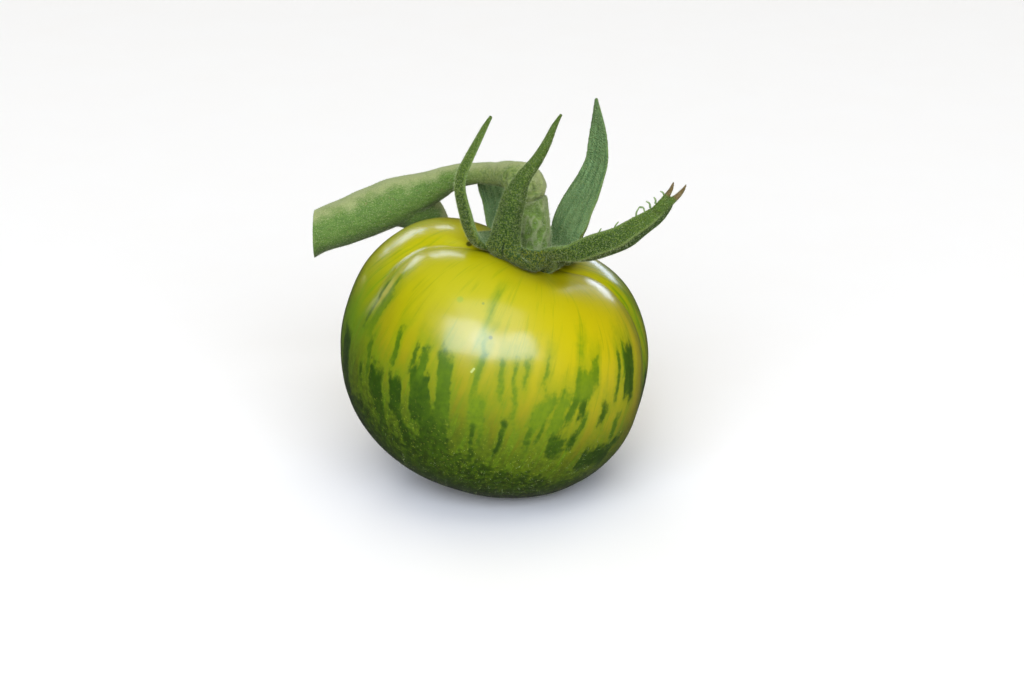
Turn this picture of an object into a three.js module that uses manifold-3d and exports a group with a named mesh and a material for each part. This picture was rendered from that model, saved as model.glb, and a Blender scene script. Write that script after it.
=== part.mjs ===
// A green and yellow striped salad tomato, as picked: the fruit, its five-sepalled calyx, the jointed
// pedicel and a cut length of truss stem. Millimetres, +Z up. The origin is the centre of the small
// flat spot that the fruit rests on. The stem end leans towards +X and the truss stem runs off to -X.

import * as THREE from "three";
import { mergeVertices } from "three/addons/utils/BufferGeometryUtils.js";
import Module from "manifold-3d";

const wasm = await Module();
wasm.setup();

const DEGREE = Math.PI / 180;

// ---- Driving dimensions ------------------------------------------------------------------------

// The fruit about its own axis. Polar angles run from the stem end, azimuths from +X towards +Y.
const FRUIT = {
  radius: 30, // equator to axis
  topHeight: 25.4, // equator to the stem end, before the dimple
  bottomHeight: 26.3, // equator to the blossom end
  squareness: 2.2, // 2 is an ellipse, and more than 2 is boxier shoulders
  widening: 0.017, // wider along the row's X than along Y
  lean: 20, // of the axis, towards +X
  centreX: -4.1, // of the fruit's own frame, from the flat spot
  flatDepth: 1.2, // how much the flat spot takes off the lowest point
};
const DIMPLE = { depth: 5.2, radius: 11 };
const GROOVES = [
  { azimuth: -160, depth: 0.068 },
  { azimuth: -20, depth: 0.05 },
  { azimuth: 50, depth: 0.05 },
  { azimuth: 118, depth: 0.055 },
];
const GROOVE = { width: 17, polar: 62, reach: 38, topShare: 0.8 };
// Low swellings and hollows that keep the fruit from being regular.
const CHEEKS = [
  { azimuth: 176, polar: 45, width: 26, reach: 22, height: 0.3 },
  { azimuth: 110, polar: 32, width: 40, reach: 20, height: -2.5 },
  { azimuth: -118, polar: 128, width: 30, reach: 18, height: 0.5 },
  { azimuth: -172, polar: 108, width: 26, reach: 20, height: -0.5 },
  { azimuth: -80, polar: 20, width: 60, reach: 15, height: -1.4 },
];

// The calyx: a receptacle with five sepals. A sepal starts at the receptacle's rim, at its azimuth
// about the fruit's axis, and then runs through its stations to its tip. Each station is [x, y, z,
// half width]. Its width runs round the facing direction, turned about its length by roll.
const HUB = {
  radius: 6.7,
  rimThickness: 1.2,
  clearance: 0.5, // between the receptacle and the skin below it
  crownRise: 0.3,
  crownShare: 0.6, // of the radius, out to where the level crown ends
};
const SEPAL = {
  thickness: 1.1,
  tipThickness: 0.5,
  baseHalfWidth: 2.7,
  rimGap: 2.15,
  rimShare: 0.8, // of the rim's thickness, up to the middle of a sepal's base
  freedAt: 0.3, // the share of its length over which a sepal turns away from the rim
  steps: 20,
  sides: 10,
};
const SEPALS = [
  {
    name: "sepal_front",
    azimuth: -104,
    facing: -95,
    roll: [0, 0],
    cup: 0.25,
    stations: [
      [-1.5, -10.3, 50.3, 2.9],
      [-1.8, -10.8, 52.8, 2.7],
      [-1.5, -11.4, 57.0, 2.2],
      [-0.6, -11.8, 60.7, 1.8],
      [1.2, -12.2, 65.0, 1.5],
      [3.6, -12.2, 68.3, 1.3],
      [5.3, -11.8, 71.5, 1.0],
      [6.9, -11.0, 74.5, 0.7],
      [8.2, -10.4, 76.6, 0.3],
    ],
  },
  {
    name: "sepal_right",
    azimuth: -55,
    facing: -40,
    roll: [-30, -55],
    cup: 0.4,
    stations: [
      [9.2, -9.4, 47.9, 2.8],
      [11.8, -10.9, 49.4, 3.0],
      [15.1, -12.2, 51.2, 3.1],
      [19.1, -13.4, 53.3, 2.7],
      [21.9, -14.0, 55.6, 2.3],
      [25.3, -14.3, 58.4, 1.9],
      [27.1, -14.3, 60.3, 1.6],
      [28.9, -14.2, 62.3, 1.2],
      [30.3, -14.0, 64.1, 0.4],
    ],
  },
  {
    name: "sepal_back_right",
    azimuth: 42,
    facing: 62,
    roll: [0, 0],
    cup: 0.2,
    stations: [
      [10.3, 7.0, 48.7, 3.9],
      [11.6, 9.2, 51.2, 3.8],
      [13.2, 11.0, 53.9, 3.5],
      [14.7, 12.4, 57.0, 2.9],
      [15.8, 13.2, 60.2, 2.5],
      [16.0, 13.6, 63.7, 2.2],
      [15.9, 13.6, 67.3, 1.6],
      [15.3, 12.4, 73.0, 0.4],
    ],
  },
  {
    name: "sepal_back_left",
    azimuth: 116,
    facing: 105,
    roll: [0, 0],
    cup: 0.3,
    stations: [
      [-2.7, 8.7, 49.8, 2.7],
      [-3.6, 10.2, 51.5, 3.1],
      [-4.1, 11.8, 52.8, 3.4],
      [-4.6, 14.2, 53.8, 3.2],
      [-4.8, 16.4, 54.6, 2.7],
      [-5.0, 18.4, 55.3, 1.7],
      [-5.2, 19.8, 55.8, 0.4],
    ],
  },
  {
    name: "sepal_left",
    azimuth: 196,
    facing: 190,
    roll: [10, 20],
    cup: 0.35,
    stations: [
      [-6.8, -7.2, 51.6, 2.7],
      [-8.5, -8.3, 54.3, 2.4],
      [-9.7, -9.0, 57.4, 2.1],
      [-10.3, -9.4, 60.1, 1.9],
      [-10.6, -9.6, 62.7, 1.7],
      [-10.2, -9.6, 65.2, 1.6],
      [-9.0, -9.2, 67.7, 1.4],
      [-7.4, -8.6, 70.6, 1.1],
      [-5.9, -7.8, 73.2, 0.8],
      [-4.5, -7.2, 75.3, 0.35],
    ],
  },
];

// Stems are round tubes, and each of their stations is [x, y, z, radius]. The pedicel stands on the
// receptacle and runs up to the joint where a ripe fruit comes away.
const PEDICEL = {
  name: "pedicel_lower",
  footRadius: 3.2,
  footGap: 1.3,
  stations: [
    [4.4, 0.0, 50.6, 2.95],
    [3.7, 0.0, 52.8, 2.9],
    [3.3, 0.3, 55.0, 2.8],
    [3.1, 0.5, 56.2, 2.6],
  ],
};
// The truss stem, from its cut end to the swollen joint, and the stub of its broken-off run.
const TRUSS_STEM = {
  name: "truss_stem",
  cutX: -39.4,
  main: [
    [-43.2, 15.0, 42.6, 4.2],
    [-38.7, 16.0, 44.9, 4.2],
    [-33.5, 17.0, 46.6, 4.5],
    [-28.2, 18.0, 48.5, 4.7],
    [-23.1, 18.6, 50.5, 4.6],
    [-17.7, 18.6, 52.7, 3.5],
    [-12.3, 16.0, 56.0, 2.5],
    [-7.8, 12.5, 58.0, 2.1],
    [-3.9, 8.0, 59.4, 2.2],
    [-1.1, 4.0, 60.4, 2.7],
    [1.0, 1.6, 60.1, 3.4],
    [2.2, 0.8, 58.8, 3.5],
    [2.9, 0.6, 57.6, 2.9],
  ],
  stub: [
    [-23.7, 19.0, 49.7, 4.2],
    [-20.8, 20.4, 48.6, 4.4],
    [-18.3, 22.0, 47.1, 3.9],
    [-16.6, 23.6, 44.8, 3.2],
    [-15.7, 24.8, 42.7, 2.7],
  ],
};
// How finely the curved pieces are divided.
const SKIN_MERIDIANS = 64;
const SKIN_PARALLELS = 36;
const HUB_SEGMENTS = 20;
const HUB_STEPS = 5;
const STEM_SIDES = 16;
const STEM_STEPS_PER_SPAN = 3;
const WELD_DISTANCE = 1e-4; // below this, two vertices are the same point
const CUTTER_SIZE = 60; // of the blocks that trim pieces flat, larger than any piece's section

const FINISHES = {
  fruit: { color: 0xb4b41e, roughness: 0.25 },
  calyx: { color: 0x496828, roughness: 0.8 },
  sepal: { color: 0x4c6b30, roughness: 0.8 },
  pedicel: { color: 0x6c7f48, roughness: 0.8 },
  truss: { color: 0x72903f, roughness: 0.75 },
};

// ---- Shape of the fruit ------------------------------------------------------------------------

const bell = (offset, width) => Math.exp(-((offset / width) ** 2));

// The turn from one azimuth to another, in degrees from -180 to 180.
const turnBetween = (from, to) => ((((to - from) % 360) + 540) % 360) - 180;

// A point of the skin in the fruit's own frame, with the stem end at +Z.
function skinPoint(azimuth, polar) {
  const sine = Math.sin(polar * DEGREE);
  const cosine = Math.cos(polar * DEGREE);
  const power = FRUIT.squareness;
  const fullness = (Math.abs(sine) ** power + Math.abs(cosine) ** power) ** (1 / power);
  const height = cosine > 0 ? FRUIT.topHeight : FRUIT.bottomHeight;
  const pinch = GROOVES.reduce(
    (sum, groove) => sum + groove.depth * bell(turnBetween(groove.azimuth, azimuth), GROOVE.width),
    0,
  );
  const pull = pinch * bell(polar - GROOVE.polar, GROOVE.reach);
  const widening = 1 + FRUIT.widening * Math.cos(2 * azimuth * DEGREE) * sine;
  let reach = (FRUIT.radius * sine * widening * (1 - pull)) / fullness;
  let rise = ((height * cosine) / fullness) * (1 - GROOVE.topShare * pull);
  const swelling = CHEEKS.reduce(
    (sum, cheek) =>
      sum +
      cheek.height *
        bell(turnBetween(cheek.azimuth, azimuth), cheek.width) *
        bell(polar - cheek.polar, cheek.reach),
    0,
  );
  const swell = 1 + swelling / Math.hypot(reach, rise);
  reach *= swell;
  rise *= swell;
  if (cosine > 0) rise -= DIMPLE.depth * bell(reach, DIMPLE.radius);
  return new THREE.Vector3(
    reach * Math.cos(azimuth * DEGREE),
    reach * Math.sin(azimuth * DEGREE),
    rise,
  );
}

// Turns the fruit's own frame into the row's frame, before the fruit is set down on its flat spot.
const LEANED = new THREE.Matrix4().makeRotationY(FRUIT.lean * DEGREE);

function skinGeometry() {
  const geometry = new THREE.SphereGeometry(1, SKIN_MERIDIANS, SKIN_PARALLELS).rotateX(Math.PI / 2);
  const position = geometry.attributes.position;
  const unit = new THREE.Vector3();
  for (let index = 0; index < position.count; index += 1) {
    unit.fromBufferAttribute(position, index);
    const azimuth = Math.atan2(unit.y, unit.x) / DEGREE;
    const polar = Math.acos(THREE.MathUtils.clamp(unit.z, -1, 1)) / DEGREE;
    const skin = skinPoint(azimuth, polar).applyMatrix4(LEANED);
    position.setXYZ(index, skin.x, skin.y, skin.z);
  }
  geometry.computeBoundingBox();
  return geometry;
}

// The whole fruit is leaned, and set down until the flat spot is at zero height.
const skin = skinGeometry();
const FRUIT_CENTRE = new THREE.Vector3(FRUIT.centreX, 0, -skin.boundingBox.min.z - FRUIT.flatDepth);
skin.translate(...FRUIT_CENTRE);

// ---- Booleans ----------------------------------------------------------------------------------

function toSolid(geometry) {
  const bare = geometry.clone();
  bare.deleteAttribute("normal");
  bare.deleteAttribute("uv");
  const merged = mergeVertices(bare, WELD_DISTANCE);
  return new wasm.Manifold(
    new wasm.Mesh({
      numProp: 3,
      vertProperties: Float32Array.from(merged.attributes.position.array),
      triVerts: Uint32Array.from(merged.index.array),
    }),
  );
}

function toGeometry(solid) {
  const mesh = solid.getMesh();
  const geometry = new THREE.BufferGeometry();
  geometry.setAttribute("position", new THREE.BufferAttribute(mesh.vertProperties, 3));
  geometry.setIndex(new THREE.BufferAttribute(mesh.triVerts, 1));
  geometry.computeVertexNormals();
  return geometry;
}

// ---- Swept pieces ------------------------------------------------------------------------------

// Evenly spaced samples of a list of stations, whose first three numbers are a point and whose
// other numbers are sizes at that point.
function samplesAlong(stations, count) {
  const curve = new THREE.CatmullRomCurve3(stations.map(([x, y, z]) => new THREE.Vector3(x, y, z)));
  const spans = stations.length - 1;
  return Array.from({ length: count + 1 }, (_, step) => {
    const along = step / count;
    const before = Math.min(Math.floor(along * spans), spans - 1);
    const part = along * spans - before;
    const sizes = stations[before]
      .slice(3)
      .map((size, index) => THREE.MathUtils.lerp(size, stations[before + 1][3 + index], part));
    return { along, centre: curve.getPoint(along), tangent: curve.getTangent(along), sizes };
  });
}

// A closed body from a cylinder whose rings are moved onto the samples. The section function turns
// a sample and an angle round the ring into an offset from the sample's centre.
function sweep(samples, sides, section) {
  const steps = samples.length - 1;
  const geometry = new THREE.CylinderGeometry(1, 1, 1, sides, steps);
  const position = geometry.attributes.position;
  const unit = new THREE.Vector3();
  for (let index = 0; index < position.count; index += 1) {
    unit.fromBufferAttribute(position, index);
    const sample = samples[Math.round((0.5 + unit.y) * steps)];
    const placed = sample.centre.clone();
    const onRing = Math.hypot(unit.x, unit.z) > 0.5;
    if (onRing) placed.add(section(sample, Math.atan2(unit.x, unit.z)));
    position.setXYZ(index, placed.x, placed.y, placed.z);
  }
  return geometry;
}

function stemGeometry(stations) {
  const samples = samplesAlong(stations, (stations.length - 1) * STEM_STEPS_PER_SPAN);
  const acrossStem = new THREE.Vector3(0, 1, 0);
  return sweep(samples, STEM_SIDES, ({ tangent, sizes: [radius] }, angle) => {
    const side = acrossStem.clone().addScaledVector(tangent, -acrossStem.dot(tangent)).normalize();
    const up = new THREE.Vector3().crossVectors(tangent, side);
    return side
      .multiplyScalar(radius * Math.cos(angle))
      .addScaledVector(up, radius * Math.sin(angle));
  });
}

// A sepal is a cupped blade whose inner face looks at the stem. Its width lies along the rim at its
// base, and further out it takes its own facing and roll.
function sepalGeometry({ azimuth, facing, roll, cup, stations }) {
  const base = hubPoint(azimuth, HUB.radius + SEPAL.rimGap, HUB.rimThickness * SEPAL.rimShare);
  const samples = samplesAlong([[...base, SEPAL.baseHalfWidth], ...stations], SEPAL.steps);
  const alongRim = roundAxis(azimuth).applyMatrix4(LEANED);
  return sweep(samples, SEPAL.sides, ({ along, tangent, sizes: [halfWidth] }, angle) => {
    const freed = THREE.MathUtils.smoothstep(along, 0, SEPAL.freedAt);
    const width = alongRim.clone().lerp(roundAxis(facing), freed);
    const side = width.addScaledVector(tangent, -width.dot(tangent)).normalize();
    side.applyAxisAngle(tangent, THREE.MathUtils.lerp(roll[0], roll[1], along) * freed * DEGREE);
    const inner = new THREE.Vector3().crossVectors(tangent, side);
    const thickness = THREE.MathUtils.lerp(SEPAL.thickness, SEPAL.tipThickness, along);
    const across = -Math.sin(angle);
    const offInner = (thickness / 2) * Math.cos(angle) + cup * freed * halfWidth * across ** 2;
    return side.multiplyScalar(halfWidth * across).addScaledVector(inner, offInner);
  });
}

// The level direction that runs round an upright axis at an azimuth.
const roundAxis = (azimuth) =>
  new THREE.Vector3(-Math.sin(azimuth * DEGREE), Math.cos(azimuth * DEGREE), 0);

// The receptacle follows the dimple below, with a small clearance, and is level above.
const hubFloor = (reach) =>
  FRUIT.topHeight * Math.sqrt(1 - (reach / FRUIT.radius) ** 2) -
  DIMPLE.depth * bell(reach, DIMPLE.radius) +
  HUB.clearance;

// How far the receptacle's level crown stands over its floor, on the axis.
const HUB_RISE = hubFloor(HUB.radius) - hubFloor(0) + HUB.rimThickness + HUB.crownRise;

function hubGeometry() {
  const under = Array.from({ length: HUB_STEPS + 1 }, (_, step) => {
    const reach = (HUB.radius * step) / HUB_STEPS;
    return new THREE.Vector2(reach, hubFloor(reach));
  });
  const rimTop = hubFloor(HUB.radius) + HUB.rimThickness;
  const upper = [
    new THREE.Vector2(HUB.radius, rimTop),
    new THREE.Vector2(HUB.radius * HUB.crownShare, rimTop + HUB.crownRise),
    new THREE.Vector2(0, rimTop + HUB.crownRise),
  ];
  return new THREE.LatheGeometry([...under, ...upper], HUB_SEGMENTS).rotateX(Math.PI / 2);
}

// A point beside or above the receptacle, in the row's frame.
function hubPoint(azimuth, reach, rise) {
  const height = hubFloor(Math.min(reach, HUB.radius)) + rise;
  return new THREE.Vector3(
    reach * Math.cos(azimuth * DEGREE),
    reach * Math.sin(azimuth * DEGREE),
    height,
  )
    .applyMatrix4(LEANED)
    .add(FRUIT_CENTRE);
}

// ---- Assembly ----------------------------------------------------------------------------------

const tomato = new THREE.Group();
tomato.name = "tomato";

function addPiece(name, geometry, finish) {
  const material = new THREE.MeshStandardMaterial({ ...finish, metalness: 0 });
  const piece = new THREE.Mesh(geometry, material);
  piece.name = name;
  tomato.add(piece);
  return piece;
}

const cutter = new THREE.BoxGeometry(CUTTER_SIZE, CUTTER_SIZE, CUTTER_SIZE);

const below = cutter.clone().translate(0, 0, -CUTTER_SIZE / 2);
addPiece("fruit", toGeometry(toSolid(skin).subtract(toSolid(below))), FINISHES.fruit);

const hub = hubGeometry().applyMatrix4(LEANED).translate(...FRUIT_CENTRE);
addPiece("calyx_hub", hub, FINISHES.calyx);

for (const sepal of SEPALS) {
  addPiece(sepal.name, sepalGeometry(sepal), FINISHES.sepal);
}

const foot = hubPoint(0, 0, HUB_RISE + PEDICEL.footGap);
const pedicelStations = [[...foot, PEDICEL.footRadius], ...PEDICEL.stations];
addPiece(PEDICEL.name, stemGeometry(pedicelStations), FINISHES.pedicel);

const main = toSolid(stemGeometry(TRUSS_STEM.main));
const stub = toSolid(stemGeometry(TRUSS_STEM.stub));
const beyondCut = cutter.clone().translate(TRUSS_STEM.cutX - CUTTER_SIZE / 2, 0, CUTTER_SIZE);
const trussStem = toGeometry(main.add(stub).subtract(toSolid(beyondCut)));
addPiece(TRUSS_STEM.name, trussStem, FINISHES.truss);

export default tomato;
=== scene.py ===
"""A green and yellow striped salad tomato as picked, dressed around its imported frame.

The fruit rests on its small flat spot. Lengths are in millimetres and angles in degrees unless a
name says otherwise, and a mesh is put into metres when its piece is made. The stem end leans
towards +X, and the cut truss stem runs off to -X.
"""

import logging
import math
from collections.abc import Callable, Iterable, Sequence
from dataclasses import dataclass, field
from enum import Enum
from functools import reduce
from typing import TypeAlias

import bmesh
import bpy
import numpy as np
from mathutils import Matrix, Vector, noise
from mathutils.kdtree import KDTree
from numpy.typing import NDArray


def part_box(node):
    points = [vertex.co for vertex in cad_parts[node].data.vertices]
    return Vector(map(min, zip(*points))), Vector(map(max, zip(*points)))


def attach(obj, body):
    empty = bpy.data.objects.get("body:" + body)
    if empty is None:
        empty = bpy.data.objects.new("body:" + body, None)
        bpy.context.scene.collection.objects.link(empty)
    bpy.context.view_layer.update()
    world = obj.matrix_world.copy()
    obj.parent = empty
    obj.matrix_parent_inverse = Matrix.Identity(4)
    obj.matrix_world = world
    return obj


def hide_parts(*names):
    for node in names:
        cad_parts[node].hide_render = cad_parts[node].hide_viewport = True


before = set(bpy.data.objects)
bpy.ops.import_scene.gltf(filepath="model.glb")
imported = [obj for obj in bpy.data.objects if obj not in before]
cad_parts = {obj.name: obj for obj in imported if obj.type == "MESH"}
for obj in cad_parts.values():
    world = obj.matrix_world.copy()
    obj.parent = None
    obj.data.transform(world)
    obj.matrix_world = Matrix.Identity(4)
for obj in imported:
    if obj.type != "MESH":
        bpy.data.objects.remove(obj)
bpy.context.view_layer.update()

Array: TypeAlias = NDArray[np.float64]
Colour: TypeAlias = tuple[float, float, float, float]
Station: TypeAlias = tuple[float, float, float, float]

METRES = 0.001  # in a millimetre
ONLY_BODY = "root"

log = logging.getLogger("tomato")


# ---- Numbers -----------------------------------------------------------------------------------


def bell(offset: Array, width: float) -> Array:
    """1 where the offset is none, falling away over the width."""
    return np.exp(-((offset / width) ** 2))


def turn_between(start: Array, end: Array) -> Array:
    """The turn from one azimuth to another, from -180 to 180."""
    return (end - start + 180.0) % 360.0 - 180.0


def ease(value: Array, low: float, high: float) -> Array:
    """0 below low and 1 above high, with a smooth rise between them."""
    share = np.clip((value - low) / (high - low), 0.0, 1.0)
    return share * share * (3.0 - 2.0 * share)


def unit(vectors: Array) -> Array:
    """The vectors at length 1."""
    return vectors / np.linalg.norm(vectors, axis=-1, keepdims=True)


def round_axis(azimuth: float) -> Array:
    """The level direction that runs round an upright axis at an azimuth."""
    angle = math.radians(azimuth)
    return np.array([-math.sin(angle), math.cos(angle), 0.0])


def rough(points: Array, size: float, seed: float = 0.0) -> Array:
    """Smooth noise from about -1 to 1 at points, with bumps of about the given size."""
    moved = points / size + seed
    return np.array([noise.noise(Vector(point)) for point in moved])


def wrinkles(points: Array, stretch: tuple[float, float, float], seed: float) -> Array:
    """Sharp folds at points, 1 along their crests and below nothing between them."""
    return 1 - 4 * np.abs(rough(points * np.array(stretch), 1.0, seed))


def curve_through(points: Array, along: Array) -> tuple[Array, Array]:
    """A smooth curve through points, by the centripetal Catmull-Rom rule.

    Args:
        points: The points in order, one row each.
        along: Places on the curve, from 0 to 1, spread evenly over its spans.

    Returns:
        The place and the unit direction of the curve at each value of along.
    """
    ends = np.vstack([2 * points[0] - points[1], points, 2 * points[-1] - points[-2]])
    spans = len(points) - 1
    before = np.minimum((along * spans).astype(int), spans - 1)
    part = (along * spans - before)[:, None]
    first, second, third, fourth = (ends[before + step] for step in range(4))
    gap_a, gap_b, gap_c = (
        np.sqrt(np.linalg.norm(end - start, axis=1))[:, None]
        for start, end in ((first, second), (second, third), (third, fourth))
    )
    leave = (second - first) / gap_a - (third - first) / (gap_a + gap_b)
    leave = (leave + (third - second) / gap_b) * gap_b
    arrive = (third - second) / gap_b - (fourth - second) / (gap_b + gap_c)
    arrive = (arrive + (fourth - third) / gap_c) * gap_b
    square = -3 * second + 3 * third - 2 * leave - arrive
    cube = 2 * second - 2 * third + leave + arrive
    place = second + part * (leave + part * (square + part * cube))
    direction = leave + part * (2 * square + part * 3 * cube)
    return place, unit(direction)


def sizes_along(sizes: Array, along: Array) -> Array:
    """Sizes along a curve.

    Args:
        sizes: The size at each station.
        along: Places on the curve, from 0 to 1.

    Returns:
        The size at each place, smoothly between those of the stations.
    """
    spans = len(sizes) - 1
    before = np.minimum((along * spans).astype(int), spans - 1)
    part = along * spans - before
    slopes = np.gradient(sizes)
    low, high = sizes[before], sizes[before + 1]
    rise = high - low
    bend = slopes[before] - rise
    back = rise - slopes[before + 1]
    return low + part * rise + part * (1 - part) * (bend * (1 - part) + back * part)


# ---- Shells and pieces -------------------------------------------------------------------------


@dataclass
class Shell:
    """A closed surface, with named values at its points that the materials read.

    Attributes:
        points: The vertices, one row each.
        faces: The vertices of each face, anticlockwise from outside.
        marks: For each name, a number at each vertex, or a vector of three.
    """

    points: Array
    faces: list[tuple[int, ...]]
    marks: dict[str, Array] = field(default_factory=dict)

    def joined(self, other: "Shell") -> "Shell":
        """Puts two shells together.

        Args:
            other: The shell that is added.

        Returns:
            A new shell, with the marks that both have.
        """
        offset = len(self.points)
        moved = [tuple(corner + offset for corner in face) for face in other.faces]
        marks = {
            name: np.concatenate([values, other.marks[name]])
            for name, values in self.marks.items()
            if name in other.marks
        }
        return Shell(np.vstack([self.points, other.points]), self.faces + moved, marks)

    def mesh(self, name: str) -> bpy.types.Mesh:
        """Makes a smooth Blender mesh, in metres.

        Args:
            name: The new mesh's name.

        Returns:
            The mesh, with the shell's marks as attributes.
        """
        made = bpy.data.meshes.new(name)
        made.from_pydata((self.points * METRES).tolist(), [], self.faces)
        made.polygons.foreach_set("use_smooth", [True] * len(made.polygons))
        write_marks(made, self.marks)
        made.update()
        return made

    def piece(self, name: str) -> bpy.types.Object:
        """The shell as a piece of the scene."""
        return add_object(name, self.mesh(name))


def write_marks(mesh: bpy.types.Mesh, marks: dict[str, Array]) -> None:
    """Stores named values at a mesh's vertices.

    Args:
        mesh: The mesh, with as many vertices as each mark has values.
        marks: For each name, a number at each vertex, or a vector of three.
    """
    for name, values in marks.items():
        is_vector = values.ndim == 2
        kind, key = ("FLOAT_VECTOR", "vector") if is_vector else ("FLOAT", "value")
        attribute = mesh.attributes.new(name, kind, "POINT")
        attribute.data.foreach_set(key, values.astype(np.float32).ravel())


def add_object(name: str, mesh: bpy.types.Mesh) -> bpy.types.Object:
    """Adds an object to the scene.

    Args:
        name: The object's name.
        mesh: What it shows.

    Returns:
        The object.
    """
    made = bpy.data.objects.new(name, mesh)
    bpy.context.scene.collection.objects.link(made)
    return made


def tube(rings: Array, marks: dict[str, Array]) -> Shell:
    """A closed body through rings of points, with a fan at each end.

    Args:
        rings: Points by ring and by place round the ring, anticlockwise about the way they run.
        marks: Values with the same first two axes as the rings.

    Returns:
        The body. Each end has one point more, in the middle of its ring.
    """
    count, sides, _ = rings.shape
    points = np.vstack([rings.reshape(-1, 3), rings[0].mean(0), rings[-1].mean(0)])
    start_point, end_point = count * sides, count * sides + 1
    faces: list[tuple[int, ...]] = []
    for ring in range(count - 1):
        here, there = ring * sides, (ring + 1) * sides
        for side in range(sides):
            after = (side + 1) % sides
            faces.append((here + side, here + after, there + after, there + side))
    last = (count - 1) * sides
    for side in range(sides):
        after = (side + 1) % sides
        faces.append((start_point, after, side))
        faces.append((end_point, last + side, last + after))
    kept = {
        name: np.concatenate([values.ravel(), [values[0].mean(), values[-1].mean()]])
        for name, values in marks.items()
    }
    return Shell(points, faces, kept)


def fuse(name: str, shell: Shell, voxel: float, rounds: int) -> bpy.types.Object:
    """One skin round overlapping bodies, with their joints rounded off.

    Args:
        name: The new piece's name.
        shell: The bodies, whose marks go over to the new skin.
        voxel: The size of the new skin's faces.
        rounds: How many times the new skin is smoothed.

    Returns:
        The new piece.
    """
    source = shell.piece(name + "_source")
    remesh = source.modifiers.new("fuse", "REMESH")
    remesh.mode = "VOXEL"
    remesh.voxel_size = voxel * METRES
    soften = source.modifiers.new("soften", "SMOOTH")
    soften.factor = 0.5
    soften.iterations = rounds
    graph = bpy.context.evaluated_depsgraph_get()
    mesh = bpy.data.meshes.new_from_object(source.evaluated_get(graph))
    bpy.data.objects.remove(source)
    mesh.name = name
    mesh.polygons.foreach_set("use_smooth", [True] * len(mesh.polygons))
    for attribute in [item for item in mesh.attributes if item.name in shell.marks]:
        mesh.attributes.remove(attribute)
    write_marks(mesh, marks_nearby(shell, points_of(mesh)))
    return add_object(name, mesh)


def points_of(mesh: bpy.types.Mesh) -> Array:
    """Reads a mesh's vertices.

    Args:
        mesh: A mesh in metres.

    Returns:
        Its vertices in millimetres, one row each.
    """
    flat = np.zeros(len(mesh.vertices) * 3, np.float32)
    mesh.vertices.foreach_get("co", flat)
    return flat.reshape(-1, 3).astype(np.float64) / METRES


def set_points(mesh: bpy.types.Mesh, points: Array) -> None:
    """Moves a mesh's vertices to points in millimetres."""
    mesh.vertices.foreach_set("co", (points * METRES).astype(np.float32).ravel())
    mesh.update()


def normals_of(mesh: bpy.types.Mesh) -> Array:
    """Reads a mesh's normals.

    Args:
        mesh: Any mesh.

    Returns:
        The outward direction at each vertex, one row each.
    """
    flat = np.zeros(len(mesh.vertices) * 3, np.float32)
    mesh.vertices.foreach_get("normal", flat)
    return flat.reshape(-1, 3).astype(np.float64)


def marks_nearby(shell: Shell, points: Array, nearest: int = 4) -> dict[str, Array]:
    """Carries a shell's marks to other points.

    Args:
        shell: Has the marks.
        points: Where they are wanted.
        nearest: How many of the shell's points count for each.

    Returns:
        For each name, the mean at the shell's nearest points.
    """
    tree = KDTree(len(shell.points))
    for index, point in enumerate(shell.points):
        tree.insert(point, index)
    tree.balance()
    found = np.array([[hit[1] for hit in tree.find_n(point, nearest)] for point in points])
    return {name: values[found].mean(1) for name, values in shell.marks.items()}


# ---- Shader maths ------------------------------------------------------------------------------


Value: TypeAlias = "Wire | float | tuple[float, ...]"


@dataclass(frozen=True)
class Wire:
    """A value on its way through a material's nodes."""

    graph: "Graph"
    socket: bpy.types.NodeSocket

    def _math(self, operation: str, first: Value, second: Value) -> "Wire":
        """The result of a Math node on two values."""
        settings = {"operation": operation}
        return self.graph.node("ShaderNodeMath", settings, {0: first, 1: second})

    def __add__(self, other: Value) -> "Wire":
        """self + other."""
        return self._math("ADD", self, other)

    def __radd__(self, other: Value) -> "Wire":
        """other + self."""
        return self._math("ADD", other, self)

    def __sub__(self, other: Value) -> "Wire":
        """self - other."""
        return self._math("SUBTRACT", self, other)

    def __rsub__(self, other: Value) -> "Wire":
        """other - self."""
        return self._math("SUBTRACT", other, self)

    def __mul__(self, other: Value) -> "Wire":
        """self * other."""
        return self._math("MULTIPLY", self, other)

    def __rmul__(self, other: Value) -> "Wire":
        """other * self."""
        return self._math("MULTIPLY", other, self)

    def __truediv__(self, other: Value) -> "Wire":
        """self / other."""
        return self._math("DIVIDE", self, other)

    def within(self, low: float, high: float) -> "Wire":
        """Turns a range of the value into a mask.

        Args:
            low: Where the rise begins.
            high: Where it ends.

        Returns:
            0 below low and 1 above high, with a smooth rise between them.
        """
        settings = {"interpolation_type": "SMOOTHSTEP"}
        inputs = {"Value": self, "From Min": low, "From Max": high}
        return self.graph.node("ShaderNodeMapRange", settings, inputs)


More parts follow.
